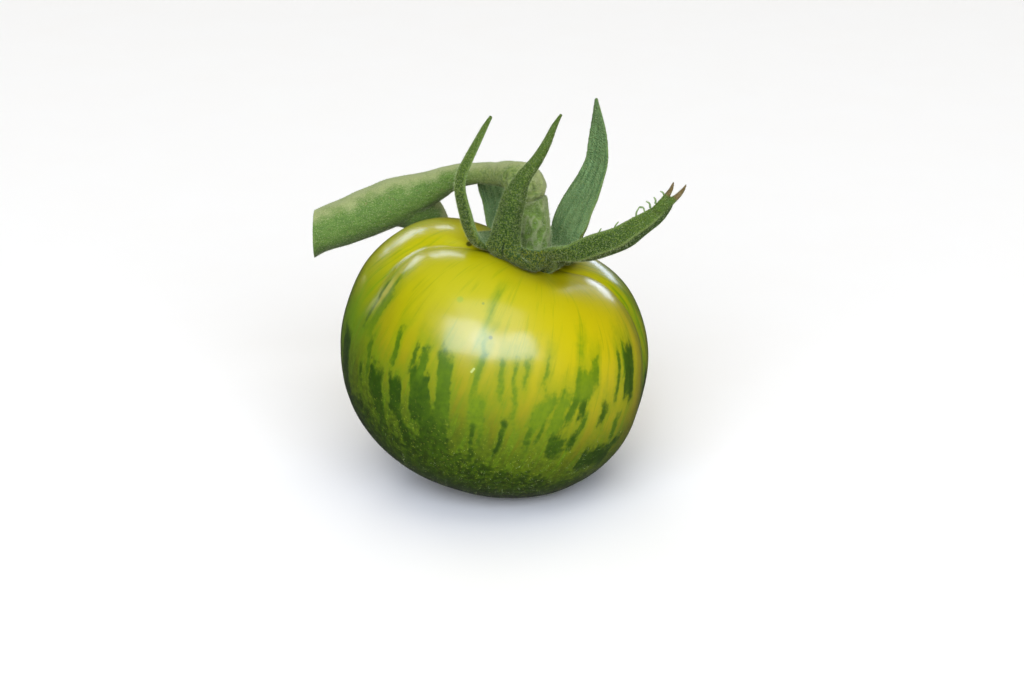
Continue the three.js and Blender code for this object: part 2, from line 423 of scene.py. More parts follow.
class Graph:
    """The nodes of one new material."""

    def __init__(self, name: str) -> None:
        """Starts a material with no nodes but its output.

        Args:
            name: The material's name.
        """
        self.material = bpy.data.materials.new(name)
        self.material.use_nodes = True
        self.tree = self.material.node_tree
        self.tree.nodes.clear()
        self.output = self.tree.nodes.new("ShaderNodeOutputMaterial")

    def node(
        self,
        kind: str,
        settings: dict[str, object],
        inputs: dict[str | int, Value],
        output: str | int = 0,
    ) -> Wire:
        """Adds a node.

        Args:
            kind: The node's type.
            settings: Its own settings, set first. "stops" is a ramp's list of place and colour.
            inputs: A value or a wire for each named or numbered socket.
            output: The socket that is handed back.

        Returns:
            A wire from the output.
        """
        made = self.tree.nodes.new(kind)
        for key, setting in settings.items():
            if key == "stops":
                self._set_stops(made.color_ramp, setting)
            else:
                setattr(made, key, setting)
        for key, value in inputs.items():
            if isinstance(value, Wire):
                self.tree.links.new(value.socket, made.inputs[key])
            else:
                made.inputs[key].default_value = value
        return Wire(self, made.outputs[output])

    @staticmethod
    def _set_stops(ramp: bpy.types.ColorRamp, stops: Sequence[tuple[float, Colour]]) -> None:
        """Gives a colour ramp its stops.

        Args:
            ramp: A new ramp with two stops.
            stops: A place and a colour for each stop.
        """
        while len(ramp.elements) < len(stops):
            ramp.elements.new(1.0)
        for element, (place, colour) in zip(ramp.elements, stops, strict=True):
            element.position = place
            element.color = colour

    def mark(self, name: str, output: str = "Fac") -> Wire:
        """A value that the mesh holds at its points."""
        return self.node("ShaderNodeAttribute", {"attribute_name": name}, {}, output)

    def place(self) -> Wire:
        """Reads where the surface is.

        Returns:
            A wire with the surface's place in millimetres.
        """
        metres = self.node("ShaderNodeTexCoord", {}, {}, "Object")
        inputs = {0: metres, "Scale": 1.0 / METRES}
        return self.node("ShaderNodeVectorMath", {"operation": "SCALE"}, inputs)

    def stretched(self, vector: Wire, factors: tuple[float, float, float]) -> Wire:
        """A vector with each of its numbers multiplied."""
        settings = {"operation": "MULTIPLY"}
        return self.node("ShaderNodeVectorMath", settings, {0: vector, 1: factors})

    def noise(self, vector: Wire, scale: float, detail: float = 2.0) -> Wire:
        """Cloudy noise from 0 to 1."""
        inputs = {"Vector": vector, "Scale": scale, "Detail": detail}
        return self.node("ShaderNodeTexNoise", {}, inputs)

    def mix(self, factor: Value, low: Value, high: Value) -> Wire:
        """The low colour where the factor is 0 and the high one where it is 1."""
        inputs = {0: factor, 6: low, 7: high}
        return self.node("ShaderNodeMix", {"data_type": "RGBA"}, inputs, 2)

    def spot(self, centre: Array, radius: float) -> Wire:
        """A round spot at a place of the object.

        Args:
            centre: The spot's middle in millimetres.
            radius: Of the spot.

        Returns:
            1 in its inner half, falling to 0 at the radius.
        """
        inputs = {0: self.place(), 1: tuple(centre)}
        settings = {"operation": "DISTANCE"}
        far = self.node("ShaderNodeVectorMath", settings, inputs, "Value")
        return 1.0 - far.within(0.5 * radius, radius)

    def bump(self, height: Wire, distance: float, strength: float = 1.0) -> Wire:
        """A normal that makes height look raised by a distance in millimetres."""
        inputs = {"Height": height, "Distance": distance * METRES, "Strength": strength}
        return self.node("ShaderNodeBump", {}, inputs)

    def surface(self, inputs: dict[str | int, Value]) -> bpy.types.Material:
        """Ends the material in one shader.

        Args:
            inputs: A value or a wire for each named socket of the shader.

        Returns:
            The material.
        """
        shader = self.node("ShaderNodeBsdfPrincipled", {}, inputs)
        self.tree.links.new(shader.socket, self.output.inputs["Surface"])
        return self.material


def paint(red: int, green: int, blue: int) -> Colour:
    """Mixes a colour.

    Args:
        red: From 0 to 255, as a screen shows it.
        green: Likewise.
        blue: Likewise.

    Returns:
        The same colour in linear shares, with an alpha of 1.
    """
    shares = [part / 255 for part in (red, green, blue)]
    linear = [s / 12.92 if s <= 0.04045 else ((s + 0.055) / 1.055) ** 2.4 for s in shares]
    return (*linear, 1.0)


# ---- Fruit -------------------------------------------------------------------------------------


@dataclass(frozen=True)
class Groove:
    """A furrow between two lobes of the fruit. Its sizes are angles.

    Attributes:
        depth: The share of the radius that it pinches in, over its whole width.
        crease: The share that its sharper middle pinches in besides.
        route: Its azimuth at a few polar angles, as pairs of polar angle and azimuth.
        width: How far it reaches to its sides.
        polar: Where it is deepest.
        reach: How far it reaches up and down from there.
        crease_width: How far the crease reaches to its sides.
        crease_polar: Where the crease is deepest.
        crease_reach: How far the crease reaches up and down from there.
    """

    depth: float
    crease: float
    route: tuple[tuple[float, float], ...]
    width: float = 17.0
    polar: float = 62.0
    reach: float = 38.0
    crease_width: float = 5.0
    crease_polar: float = 46.0
    crease_reach: float = 27.0

    def pull(self, azimuth: Array, polar: Array) -> Array:
        """How far the groove pinches the skin in.

        Args:
            azimuth: Of each place.
            polar: Of each place.

        Returns:
            A share of the radius at each place.
        """
        polars, azimuths = zip(*self.route, strict=True)
        offset = turn_between(np.interp(polar, polars, azimuths), azimuth)
        wide = self.depth * bell(offset, self.width) * bell(polar - self.polar, self.reach)
        narrow = bell(offset, self.crease_width)
        return wide + self.crease * narrow * bell(polar - self.crease_polar, self.crease_reach)


@dataclass(frozen=True)
class Patch:
    """A soft-edged place on the fruit, where something is strongest in the middle.

    Attributes:
        azimuth: Of its middle.
        polar: Of its middle.
        width: How far it reaches to its sides, as an angle.
        reach: How far it reaches up and down, as an angle.
        amount: How much there is in its middle, below nothing for a hollow.
    """

    azimuth: float
    polar: float
    width: float
    reach: float
    amount: float

    def at(self, azimuth: Array, polar: Array) -> Array:
        """How much of it there is at each place."""
        across = bell(turn_between(self.azimuth, azimuth), self.width)
        return self.amount * across * bell(polar - self.polar, self.reach)


@dataclass
class FruitShape:
    """The fruit's form about its own axis, and where it stands in the frame.

    Polar angles run from the stem end and azimuths from +X towards +Y.

    Attributes:
        radius: Of its middle.
        top_height: From its middle to its stem end, without the dimple.
        bottom_height: From its middle to its blossom end.
        squareness: 2 for an ellipse, and more for fuller shoulders.
        widening: The share by which it is wider along its lean, and narrower across it.
        lean: How far the stem end leans towards +X.
        dimple_depth: Of the dimple round the stem.
        dimple_radius: Of the dimple, where it is a third as deep.
        groove_drop: The share of a groove's pull that lowers the skin too.
        grooves: The furrows between its lobes.
        cheeks: Low swellings and hollows, by how far the skin stands out.
    """

    radius: float = 30.0
    top_height: float = 25.4
    bottom_height: float = 26.3
    squareness: float = 2.2
    widening: float = 0.017
    lean: float = 20.0
    dimple_depth: float = 5.2
    dimple_radius: float = 11.0
    groove_drop: float = 0.8
    grooves: tuple[Groove, ...] = (
        Groove(
            0.068,
            0.03,
            ((24, -146), (31, -153), (40, -163), (46, -168), (51, -169), (60, -168), (74, -162)),
        ),
        Groove(
            0.05,
            0.036,
            ((13, -19), (22, -10), (30, -9), (38, -9), (48, -7), (57, -7), (70, -10)),
        ),
        Groove(0.05, 0.016, ((20, 55), (60, 50))),
        Groove(0.055, 0.016, ((20, 112), (60, 118))),
    )
    cheeks: tuple[Patch, ...] = (
        Patch(176, 45, 26, 22, 0.3),
        Patch(110, 32, 40, 20, -2.5),
        Patch(-118, 128, 30, 18, 0.5),
        Patch(-172, 108, 26, 20, -0.5),
        Patch(-80, 20, 60, 15, -1.4),
    )

    def __post_init__(self) -> None:
        """Finds the centre from the box of the frame's fruit."""
        step = 3.0
        azimuth, polar = np.meshgrid(np.arange(0.0, 360.0, step), np.arange(0.0, 181.0, step))
        skin = self.leaned(self.skin(azimuth.ravel(), polar.ravel()))
        low, high = (np.array(corner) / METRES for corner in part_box("fruit"))
        self.centre = (low + high - skin.min(0) - skin.max(0)) / 2
        self.centre[2] = high[2] - skin[:, 2].max()

    def skin(self, azimuth: Array, polar: Array) -> Array:
        """Finds the skin.

        Args:
            azimuth: Of each place.
            polar: Of each place.

        Returns:
            Points about the fruit's own axis, in millimetres.
        """
        sine, cosine = np.sin(np.radians(polar)), np.cos(np.radians(polar))
        power = self.squareness
        fullness = (np.abs(sine) ** power + np.abs(cosine) ** power) ** (1 / power)
        height = np.where(cosine > 0, self.top_height, self.bottom_height)
        pull = sum(groove.pull(azimuth, polar) for groove in self.grooves)
        widening = 1 + self.widening * np.cos(2 * np.radians(azimuth)) * sine
        reach = self.radius * sine * widening * (1 - pull) / fullness
        rise = height * cosine / fullness * (1 - self.groove_drop * pull)
        swelling = sum(cheek.at(azimuth, polar) for cheek in self.cheeks)
        swell = 1 + swelling / np.hypot(reach, rise)
        reach, rise = reach * swell, rise * swell
        dimple = self.dimple_depth * bell(reach, self.dimple_radius)
        rise = rise - np.where(cosine > 0, dimple, 0.0)
        turn = np.radians(azimuth)
        return np.stack([reach * np.cos(turn), reach * np.sin(turn), rise], axis=-1)

    def leaned(self, points: Array) -> Array:
        """Leans points with the fruit.

        Args:
            points: Places or directions about the fruit's axis.

        Returns:
            The same, leaned with the fruit but not moved.
        """
        angle = math.radians(self.lean)
        across = points @ np.array([math.cos(angle), 0.0, math.sin(angle)])
        upward = points @ np.array([-math.sin(angle), 0.0, math.cos(angle)])
        return np.stack([across, points[..., 1], upward], axis=-1)

    def placed(self, points: Array) -> Array:
        """Points about the fruit's axis, in the row's frame."""
        return self.leaned(points) + self.centre

    def skin_height(self, azimuth: float, reach: Array) -> Array:
        """Finds the height of the skin round the stem end.

        Args:
            azimuth: One azimuth.
            reach: Distances from the fruit's axis.

        Returns:
            The skin's height at each distance, along the axis.
        """
        widest, step = 60.0, 0.5
        polar = np.arange(0.0, widest + step, step)
        own = self.skin(np.full(polar.shape, azimuth), polar)
        return np.interp(reach, np.hypot(own[:, 0], own[:, 1]), own[:, 2])

    def above_dimple(self, azimuth: float, reach: float, rise: float) -> Array:
        """Finds a point over the dimple's floor.

        Args:
            azimuth: Where it is, round the axis.
            reach: Its distance from the axis.
            rise: Its height over the skin.

        Returns:
            The point, in the row's frame.
        """
        turn = math.radians(azimuth)
        height = float(self.skin_height(azimuth, np.array(reach))) + rise
        own = [reach * math.cos(turn), reach * math.sin(turn), height]
        return self.placed(np.array(own))


# Limits of how far outside or inside a stripe a place can count.
FAR_OUTSIDE = -3.0
WELL_INSIDE = 1.5


class Tone(Enum):
    """How dark a green stripe of the skin is."""

    FAINT = 0.0
    PALE = 0.3
    MIDDLE = 0.6
    DARK = 0.85
    DARKEST = 1.0


@dataclass(frozen=True)
class Stripe:
    """A green patch that runs down the skin, with ragged ends.

    Attributes:
        azimuth: Of its middle at its top end.
        slant: How far its azimuth moves from its top end to its bottom end.
        top: The polar angle of its top end.
        bottom: The polar angle of its bottom end.
        half_width: Its half width, as an angle round the fruit's equator.
        tone: How dark it is.
        side_softness: The angle over which its long sides fade.
        end_softness: The angle over which its ends fade.
    """

    azimuth: float
    slant: float
    top: float
    bottom: float
    half_width: float
    tone: Tone = Tone.MIDDLE
    side_softness: float = 1.1
    end_softness: float = 5.0

    def depth_inside(self, azimuth: Array, polar: Array) -> Array:
        """How far inside the stripe a place is, from FAR_OUTSIDE up to WELL_INSIDE.

        Args:
            azimuth: Of each place.
            polar: Of each place.

        Returns:
            A number for each place, above nothing only inside the stripe.
        """
        share = np.clip((polar - self.top) / (self.bottom - self.top), 0.0, 1.0)
        offset = turn_between(self.azimuth + self.slant * share, azimuth)
        off_middle = np.abs(offset) * np.sin(np.radians(polar))
        sideways = (self.half_width - off_middle) / self.side_softness
        lengthways = np.minimum(polar - self.top, self.bottom - polar) / self.end_softness
        return np.clip(np.minimum(sideways, lengthways), FAR_OUTSIDE, WELL_INSIDE)


FRONT_STRIPES = (
    Stripe(-125, 1, 75, 90, 0.9, Tone.DARK),
    Stripe(-121, 2, 77, 92, 1.7, Tone.MIDDLE),
    Stripe(-121, 8, 86, 109, 4.2, Tone.DARK),
    Stripe(-112, 10, 100, 125, 6.0, Tone.DARK),
    Stripe(-114, 8, 74, 104, 2.8, Tone.MIDDLE),
    Stripe(-129, 5, 95, 111, 2.9, Tone.DARKEST),
    Stripe(-124, 9, 106, 122, 1.8, Tone.DARKEST),
    Stripe(-138, 2, 96, 109, 3.5, Tone.DARKEST),
    Stripe(-133, 7, 108, 128, 2.4, Tone.DARK),
    Stripe(-134, 2, 75, 91, 1.1, Tone.MIDDLE),
    Stripe(-146, 4, 87, 103, 1.3, Tone.MIDDLE),
    Stripe(-148, 3, 98, 107, 0.9, Tone.DARK),
    Stripe(-102, 2, 68, 84, 1.2, Tone.PALE),
    Stripe(-94, 4, 68, 84, 0.9, Tone.PALE),
    Stripe(-89, 6, 67, 92, 0.8, Tone.PALE),
    Stripe(-85, 2, 64, 76, 0.8, Tone.PALE),
    Stripe(-77, 1, 64, 73, 0.7, Tone.PALE),
    Stripe(-98, 4, 84, 100, 3.4, Tone.PALE),
    Stripe(-96, 4, 96, 115, 1.1, Tone.DARK),
    Stripe(-93, 2, 95, 104, 0.8, Tone.MIDDLE),
    Stripe(-86, 2, 91, 107, 0.9, Tone.DARK),
    Stripe(-72, -3, 76, 92, 3.1, Tone.PALE),
    Stripe(-76, 1, 88, 99, 1.0, Tone.MIDDLE),
    Stripe(-72, 0, 87, 97, 0.8, Tone.MIDDLE),
    Stripe(-66, -2, 74, 93, 2.3, Tone.PALE),
    Stripe(-62, -1, 75, 87, 1.3, Tone.MIDDLE),
    Stripe(-60, 0, 63, 78, 3.7, Tone.PALE),
    Stripe(-56, 1, 59, 71, 1.5, Tone.PALE),
    Stripe(-59, 1, 74, 84, 1.8, Tone.DARK),
    Stripe(-63, 0, 54, 60, 0.9, Tone.FAINT),
    Stripe(-48, 0, 77, 87, 1.4, Tone.DARK),
    Stripe(-36, 1, 54, 77, 3.4, Tone.DARK),
    Stripe(-43, 0, 57, 76, 0.7, Tone.MIDDLE),
    Stripe(-40, 0, 53, 66, 0.6, Tone.PALE),
    Stripe(-39, 0, 51, 59, 0.8, Tone.MIDDLE),
    Stripe(-56, -1, 81, 90, 1.0, Tone.MIDDLE),
    Stripe(-64, 1, 91, 102, 3.4, Tone.DARK),
    Stripe(-58, 0, 91, 98, 1.5, Tone.DARK),
    Stripe(-39, 1, 83, 96, 1.5, Tone.MIDDLE),
    Stripe(-31, -8, 93, 100, 2.6, Tone.DARK),
    Stripe(-42, 0, 98, 110, 8.0, Tone.DARKEST),
    Stripe(-150, 0, 66, 88, 2.5, Tone.PALE),
    Stripe(-168, 12, 96, 124, 4.5, Tone.DARKEST),
    Stripe(-159, 4, 68, 86, 1.1, Tone.MIDDLE),
    Stripe(-152, 2, 61, 78, 0.8, Tone.PALE),
    Stripe(-107, 3, 44, 64, 0.5, Tone.FAINT),
    Stripe(-103, 1, 61, 70, 0.7, Tone.PALE),
)


@dataclass(frozen=True)
class Blemish:
    """A small round mark on the skin.

    Attributes:
        azimuth: Of its middle.
        polar: Of its middle.
        radius: In millimetres.
        colour: Of the mark.
    """

    azimuth: float
    polar: float
    radius: float
    colour: Colour


@dataclass(frozen=True)
class SkinFinish:
    """The glossy skin: yellow shoulders, green stripes and a dark olive foot, partly painted shade.

    Attributes:
        shoulder: The ground colour at the stem end.
        upper: The ground colour below the shoulder.
        middle: The ground colour at the equator.
        lower: The ground colour below it, darkened partly by painted shade.
        foot: The ground colour of the foot, darkened partly by painted shade.
        warm: Of the warm patch on the shoulder.
        wash: Of the thin green wash.
        pale_stripe: Of the palest stripes.
        middle_stripe: Of the stripes between.
        dark_stripe: Of the darkest stripes.
        shade_and_mottle: Of the painted shade and dark mottling on the lower skin.
        speck: Of the small pale dots.
        scar: Of the blossom scar.
        blemishes: Small marks at their places.
    """

    shoulder: Colour = paint(182, 174, 0)
    upper: Colour = paint(174, 167, 0)
    middle: Colour = paint(148, 142, 0)
    lower: Colour = paint(90, 96, 0)
    foot: Colour = paint(34, 42, 0)
    warm: Colour = paint(192, 172, 0)
    wash: Colour = paint(104, 138, 0)
    pale_stripe: Colour = paint(122, 144, 0)
    middle_stripe: Colour = paint(84, 114, 0)
    dark_stripe: Colour = paint(40, 72, 0)
    shade_and_mottle: Colour = paint(38, 48, 0)
    speck: Colour = paint(166, 176, 60)
    scar: Colour = paint(150, 120, 70)
    blemishes: tuple[Blemish, ...] = (
        Blemish(-155.2, 28.6, 0.75, paint(22, 20, 4)),
        Blemish(-101.4, 61.6, 0.5, paint(96, 110, 20)),
        Blemish(-120.2, 53.2, 0.8, paint(150, 165, 30)),
        Blemish(-110.5, 50.4, 0.35, paint(130, 145, 40)),
        Blemish(-102.6, 75.6, 0.3, paint(186, 196, 110)),
        Blemish(-102.8, 76.3, 0.3, paint(186, 196, 110)),
        Blemish(-103.0, 77.0, 0.3, paint(186, 196, 110)),
    )

    def material(self, shape: FruitShape) -> bpy.types.Material:
        """Builds the skin's material.

        Args:
            shape: The fruit's form, which places the small marks.

        Returns:
            The material. It reads all the marks of the fruit's shell.
        """
        graph = Graph("fruit_skin")
        polar, grain = graph.mark("polar"), graph.mark("grain", "Vector")
        # Noise drawn out along the meridians, and noise in round clouds and dots.
        broad = graph.noise(graph.stretched(grain, (24.0, 24.0, 2.4)), 1.0, 2.0)
        fine = graph.noise(graph.stretched(grain, (75.0, 75.0, 4.5)), 1.0, 2.0)
        cloud = graph.noise(graph.place(), 0.16, 3.0)
        mottle = graph.noise(graph.place(), 1.1, 3.0)
        # The ground, yellow at the shoulders and darker down to the foot, partly by painted shade.
        stops = [
            (0.0, self.shoulder),
            (0.3, self.upper),
            (0.44, self.middle),
            (0.58, self.lower),
            (0.72, self.foot),
        ]
        ramp_place = polar / 180.0 + (cloud - 0.5) * 0.08 + (broad - 0.5) * 0.05
        ground = graph.node("ShaderNodeValToRGB", {"stops": stops}, {0: ramp_place})
        ground = graph.mix(graph.mark("warm") * 0.8, ground, self.warm)
        # A thin green wash in patches, in threads and round each stripe.
        thread = (fine * 0.6 + broad * 0.7).within(0.62, 0.86)
        wash = graph.mark("wash") * (0.55 + broad * 0.9) + thread * 0.38
        ground = graph.mix(wash.within(0.05, 0.95), ground, self.wash)
        edge = graph.mark("stripe") + (broad - 0.5) * 0.9 + (fine - 0.5) * 0.7
        edge = edge + (mottle - 0.5) * 1.5
        halo = edge.within(-2.4, 0.0) * 0.42
        ground = graph.mix(halo, ground, self.wash)
        # The stripes.
        inside = edge.within(-0.5, 0.55)
        tone = graph.mark("tone") + (mottle - 0.5) * 0.35 + (broad - 0.5) * 0.5
        green_stops = [
            (0.0, self.pale_stripe),
            (0.5, self.middle_stripe),
            (1.0, self.dark_stripe),
        ]
        green = graph.node("ShaderNodeValToRGB", {"stops": green_stops}, {0: tone})
        faintness = graph.mark("tone").within(-0.3, 0.4) * 0.55 + 0.42
        skin = graph.mix(inside * faintness, ground, green)
        # Painted shade and mottling on the lower skin, pale dots, small marks and the blossom scar.
        shade_and_mottle_mask = polar.within(82.0, 124.0) * (0.3 + mottle.within(0.35, 0.7) * 0.45)
        skin = graph.mix(shade_and_mottle_mask, skin, self.shade_and_mottle)
        dots = graph.noise(graph.place(), 2.6, 0.0).within(0.7, 0.78)
        skin = graph.mix(dots * polar.within(90.0, 112.0) * 0.3, skin, self.speck)
        for blemish in self.blemishes:
            centre = shape.placed(shape.skin(np.array(blemish.azimuth), np.array(blemish.polar)))
            skin = graph.mix(graph.spot(centre, blemish.radius) * 0.85, skin, blemish.colour)
        scar = polar.within(176.0, 178.5)
        skin = graph.mix(scar, skin, self.scar)
        pores = graph.noise(graph.place(), 5.0, 2.0)
        inputs = {
            "Base Color": skin,
            "Roughness": 0.26 + mottle * 0.14 + scar * 0.5,
            "Normal": graph.bump(pores + broad * 0.8, 0.03, 0.5),
            "Specular IOR Level": 0.35,
            "Coat Weight": 0.75,
            "Coat Roughness": 0.19,
            "Subsurface Weight": 0.04,
            "Subsurface Radius": (1.0, 0.7, 0.15),
            "Subsurface Scale": 0.0015,
        }
        return graph.surface(inputs)


@dataclass
class Fruit:
    """The fruit itself, in one skin, resting on its flat spot.

    Attributes:
        shape: Its form.
        finish: Of its skin.
        meridians: Points round the mesh.
        parallels: Steps of the mesh from pole to pole.
        unevenness: How far soft bumps of the skin stand out.
        scar_rise: How far the blossom scar's rim stands out.
        foot_round: How sharply the skin turns into the flat spot.
        back_from: The azimuth where the drawn stripes begin.
        back_to: The azimuth where they end.
        back_step: The turn from one of them to the next.
        seed: Starts the draws for them.
        raggedness: How far noise moves the stripes' ends, as an angle.
        sway: How far noise moves their sides, as an angle.
        foot_polar: Where the dark foot begins.
        foot_fade: The angle over which it comes in.
        washes: Places with a green wash over the ground colour.
        warm_patch: The place where the shoulder is a warmer yellow.
    """

    shape: FruitShape
    finish: SkinFinish = SkinFinish()
    meridians: int = 512
    parallels: int = 186
    unevenness: float = 0.12
    scar_rise: float = 0.35
    foot_round: float = 0.5
    back_from: float = -8.0
    back_to: float = 172.0
    back_step: float = 4.6
    seed: int = 7
    raggedness: float = 3.4
    sway: float = 1.1
    foot_polar: float = 116.0
    foot_fade: float = 9.0
    washes: tuple[Patch, ...] = (
        Patch(-168, 88, 18, 30, 0.6),
        Patch(-12, 62, 12, 26, 0.5),
        Patch(12, 45, 22, 26, 0.6),
    )
    warm_patch: Patch = Patch(-50, 52, 42, 32, 1.0)

    def build(self) -> bpy.types.Object:
        """Makes the fruit's piece.

        Returns:
            The piece, which stands for the frame's fruit.
        """
        azimuths = np.arange(self.meridians) * 360.0 / self.meridians
        polars = np.linspace(0.0, 180.0, self.parallels + 1)[1:-1]
        polar, azimuth = np.meshgrid(polars[::-1], azimuths, indexing="ij")
        rings = self._skin(azimuth.ravel(), polar.ravel()).reshape(*polar.shape, 3)
        marks = self._marks(azimuth.ravel(), polar.ravel())
        flat = {name: v.reshape(polar.shape) for name, v in marks.items()}
        shell = tube(rings, flat)
        turn = np.radians(azimuth.ravel())
        grain = np.stack([np.cos(turn), np.sin(turn), np.radians(polar.ravel())], axis=-1)
        shell.marks["grain"] = np.vstack([grain, [[0, 0, math.pi], [0, 0, 0]]])
        piece = shell.piece("fruit_body")
        piece.data.materials.append(self.finish.material(self.shape))
        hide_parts("fruit")
        return piece

    def _skin(self, azimuth: Array, polar: Array) -> Array:
        """Finds the finished skin, with its bumps.

        Args:
            azimuth: Of each place.
            polar: Of each place.

        Returns:
            Points in the row's frame, level at the flat spot.
        """
        own = self.shape.skin(azimuth, polar)
        outward = unit(own)
        uneven = self.unevenness * (rough(own, 9.0, 3.0) + 0.4 * rough(own, 4.0, 11.0))
        scar = self.scar_rise * bell(180.0 - polar, 2.2) * (1 - 0.6 * bell(180.0 - polar, 0.9))
        points = self.shape.placed(own + outward * (uneven + scar)[:, None])
        below = points[:, 2] / self.foot_round
        points[:, 2] = self.foot_round * np.where(below > 20, below, np.log1p(np.exp(below)))
        return points

    def _stripes(self) -> tuple[Stripe, ...]:
        """Adds drawn stripes round the rest of the fruit to those of the front.

        Returns:
            Stripes in no order.
        """
        random = np.random.default_rng(self.seed)
        tones = list(Tone)
        more = []
        for azimuth in np.arange(self.back_from, self.back_to, self.back_step):
            top = random.uniform(52, 94)
            length = random.uniform(9, 30)
            width = random.uniform(0.8, 3.6)
            place = azimuth + random.uniform(-2.5, 2.5)
            slant = random.uniform(-3, 3)
            tone = tones[random.integers(1, len(tones))]
            more.append(Stripe(place, slant, top, top + length, width, tone))
            lower = top + length + random.uniform(1, 6)
            shift = random.uniform(-2, 2)
            end = lower + random.uniform(8, 18)
            more.append(Stripe(place + shift, slant, lower, end, width * 0.9, Tone.DARK))
        return (*FRONT_STRIPES, *more)

    def _marks(self, azimuth: Array, polar: Array) -> dict[str, Array]:
        """Finds what the skin's material reads.

        Args:
            azimuth: Of each place.
            polar: Of each place.

        Returns:
            A number at each place for each mark.
        """
        turn = np.radians(azimuth)
        across = np.stack([np.cos(turn), np.sin(turn)], axis=-1)
        down = np.radians(polar)[:, None]
        # Noise drawn out down the skin moves the ends, and rounder noise moves the sides.
        ragged = rough(np.hstack([across * 15.0, down * 2.0]), 1.0)
        swayed = rough(np.hstack([across * 7.0, down * 9.0]), 1.0, 5.0)
        moved_polar = polar + self.raggedness * ragged
        moved_azimuth = azimuth + self.sway * swayed
        depth = np.full(len(polar), FAR_OUTSIDE)
        # A place's tone is the mean of the stripes it lies in, the deepest counting most.
        weight = np.full(len(polar), 1e-6)
        tone = weight * Tone.DARK.value
        for stripe in self._stripes():
            inside = stripe.depth_inside(moved_azimuth, moved_polar)
            depth = np.maximum(depth, inside)
            pull = np.exp(4.0 * inside)
            weight += pull
            tone += pull * stripe.tone.value
        tone /= weight
        foot = (polar - self.foot_polar + 9.0 * ragged + 5.0 * swayed) / self.foot_fade
        foot = np.minimum(foot, 0.25 + 0.6 * ease(polar, 125, 150))
        tone = np.where(foot > depth, Tone.DARKEST.value, tone)
        depth = np.maximum(depth, foot)
        behind = ease(np.abs(turn_between(-90.0, azimuth)), 80.0, 120.0) * ease(polar, 45, 80)
        wash = sum(patch.at(azimuth, polar) for patch in self.washes)
        wash = np.clip(wash + 0.25 * behind + 0.3 * ease(polar, 70, 110), 0, 1)
        warm = self.warm_patch.at(azimuth, polar)
        return {"polar": polar, "stripe": depth, "tone": tone, "wash": wash, "warm": warm}


# ---- Fine hair ---------------------------------------------------------------------------------


@dataclass(frozen=True)
class HairFinish:
    """Fine pale plant hair.

    Attributes:
        name: The material's name.
        root: The colour at a hair's root.
        tip: The colour at its tip.
    """

    name: str = "plant_hair"
    root: Colour = paint(140, 158, 84)
    tip: Colour = paint(206, 214, 160)

    def material(self) -> bpy.types.Material:
        """Builds the hair's material.

        Returns:
            The material. It reads "along".
        """
        graph = Graph(self.name)
        streak = graph.noise(graph.place(), 2.0, 1.0)
        share = graph.mark("along") * 0.8 + streak * 0.3
        inputs = {
            "Base Color": graph.mix(share, self.root, self.tip),
            "Roughness": 0.45 + streak * 0.15,
            "Sheen Weight": 0.3,
        }
        return graph.surface(inputs)


def everywhere(points: Array) -> Array:
    """The share of hairs kept where none is left out."""
    return np.ones(len(points))


def low_skin(points: Array) -> Array:
    """The share of hairs kept on the lower skin, with none near the floor."""
    height = points[:, 2]
    return 0.8 * (1 - ease(height, 6.0, 22.0)) * ease(height, 1.0, 3.0)


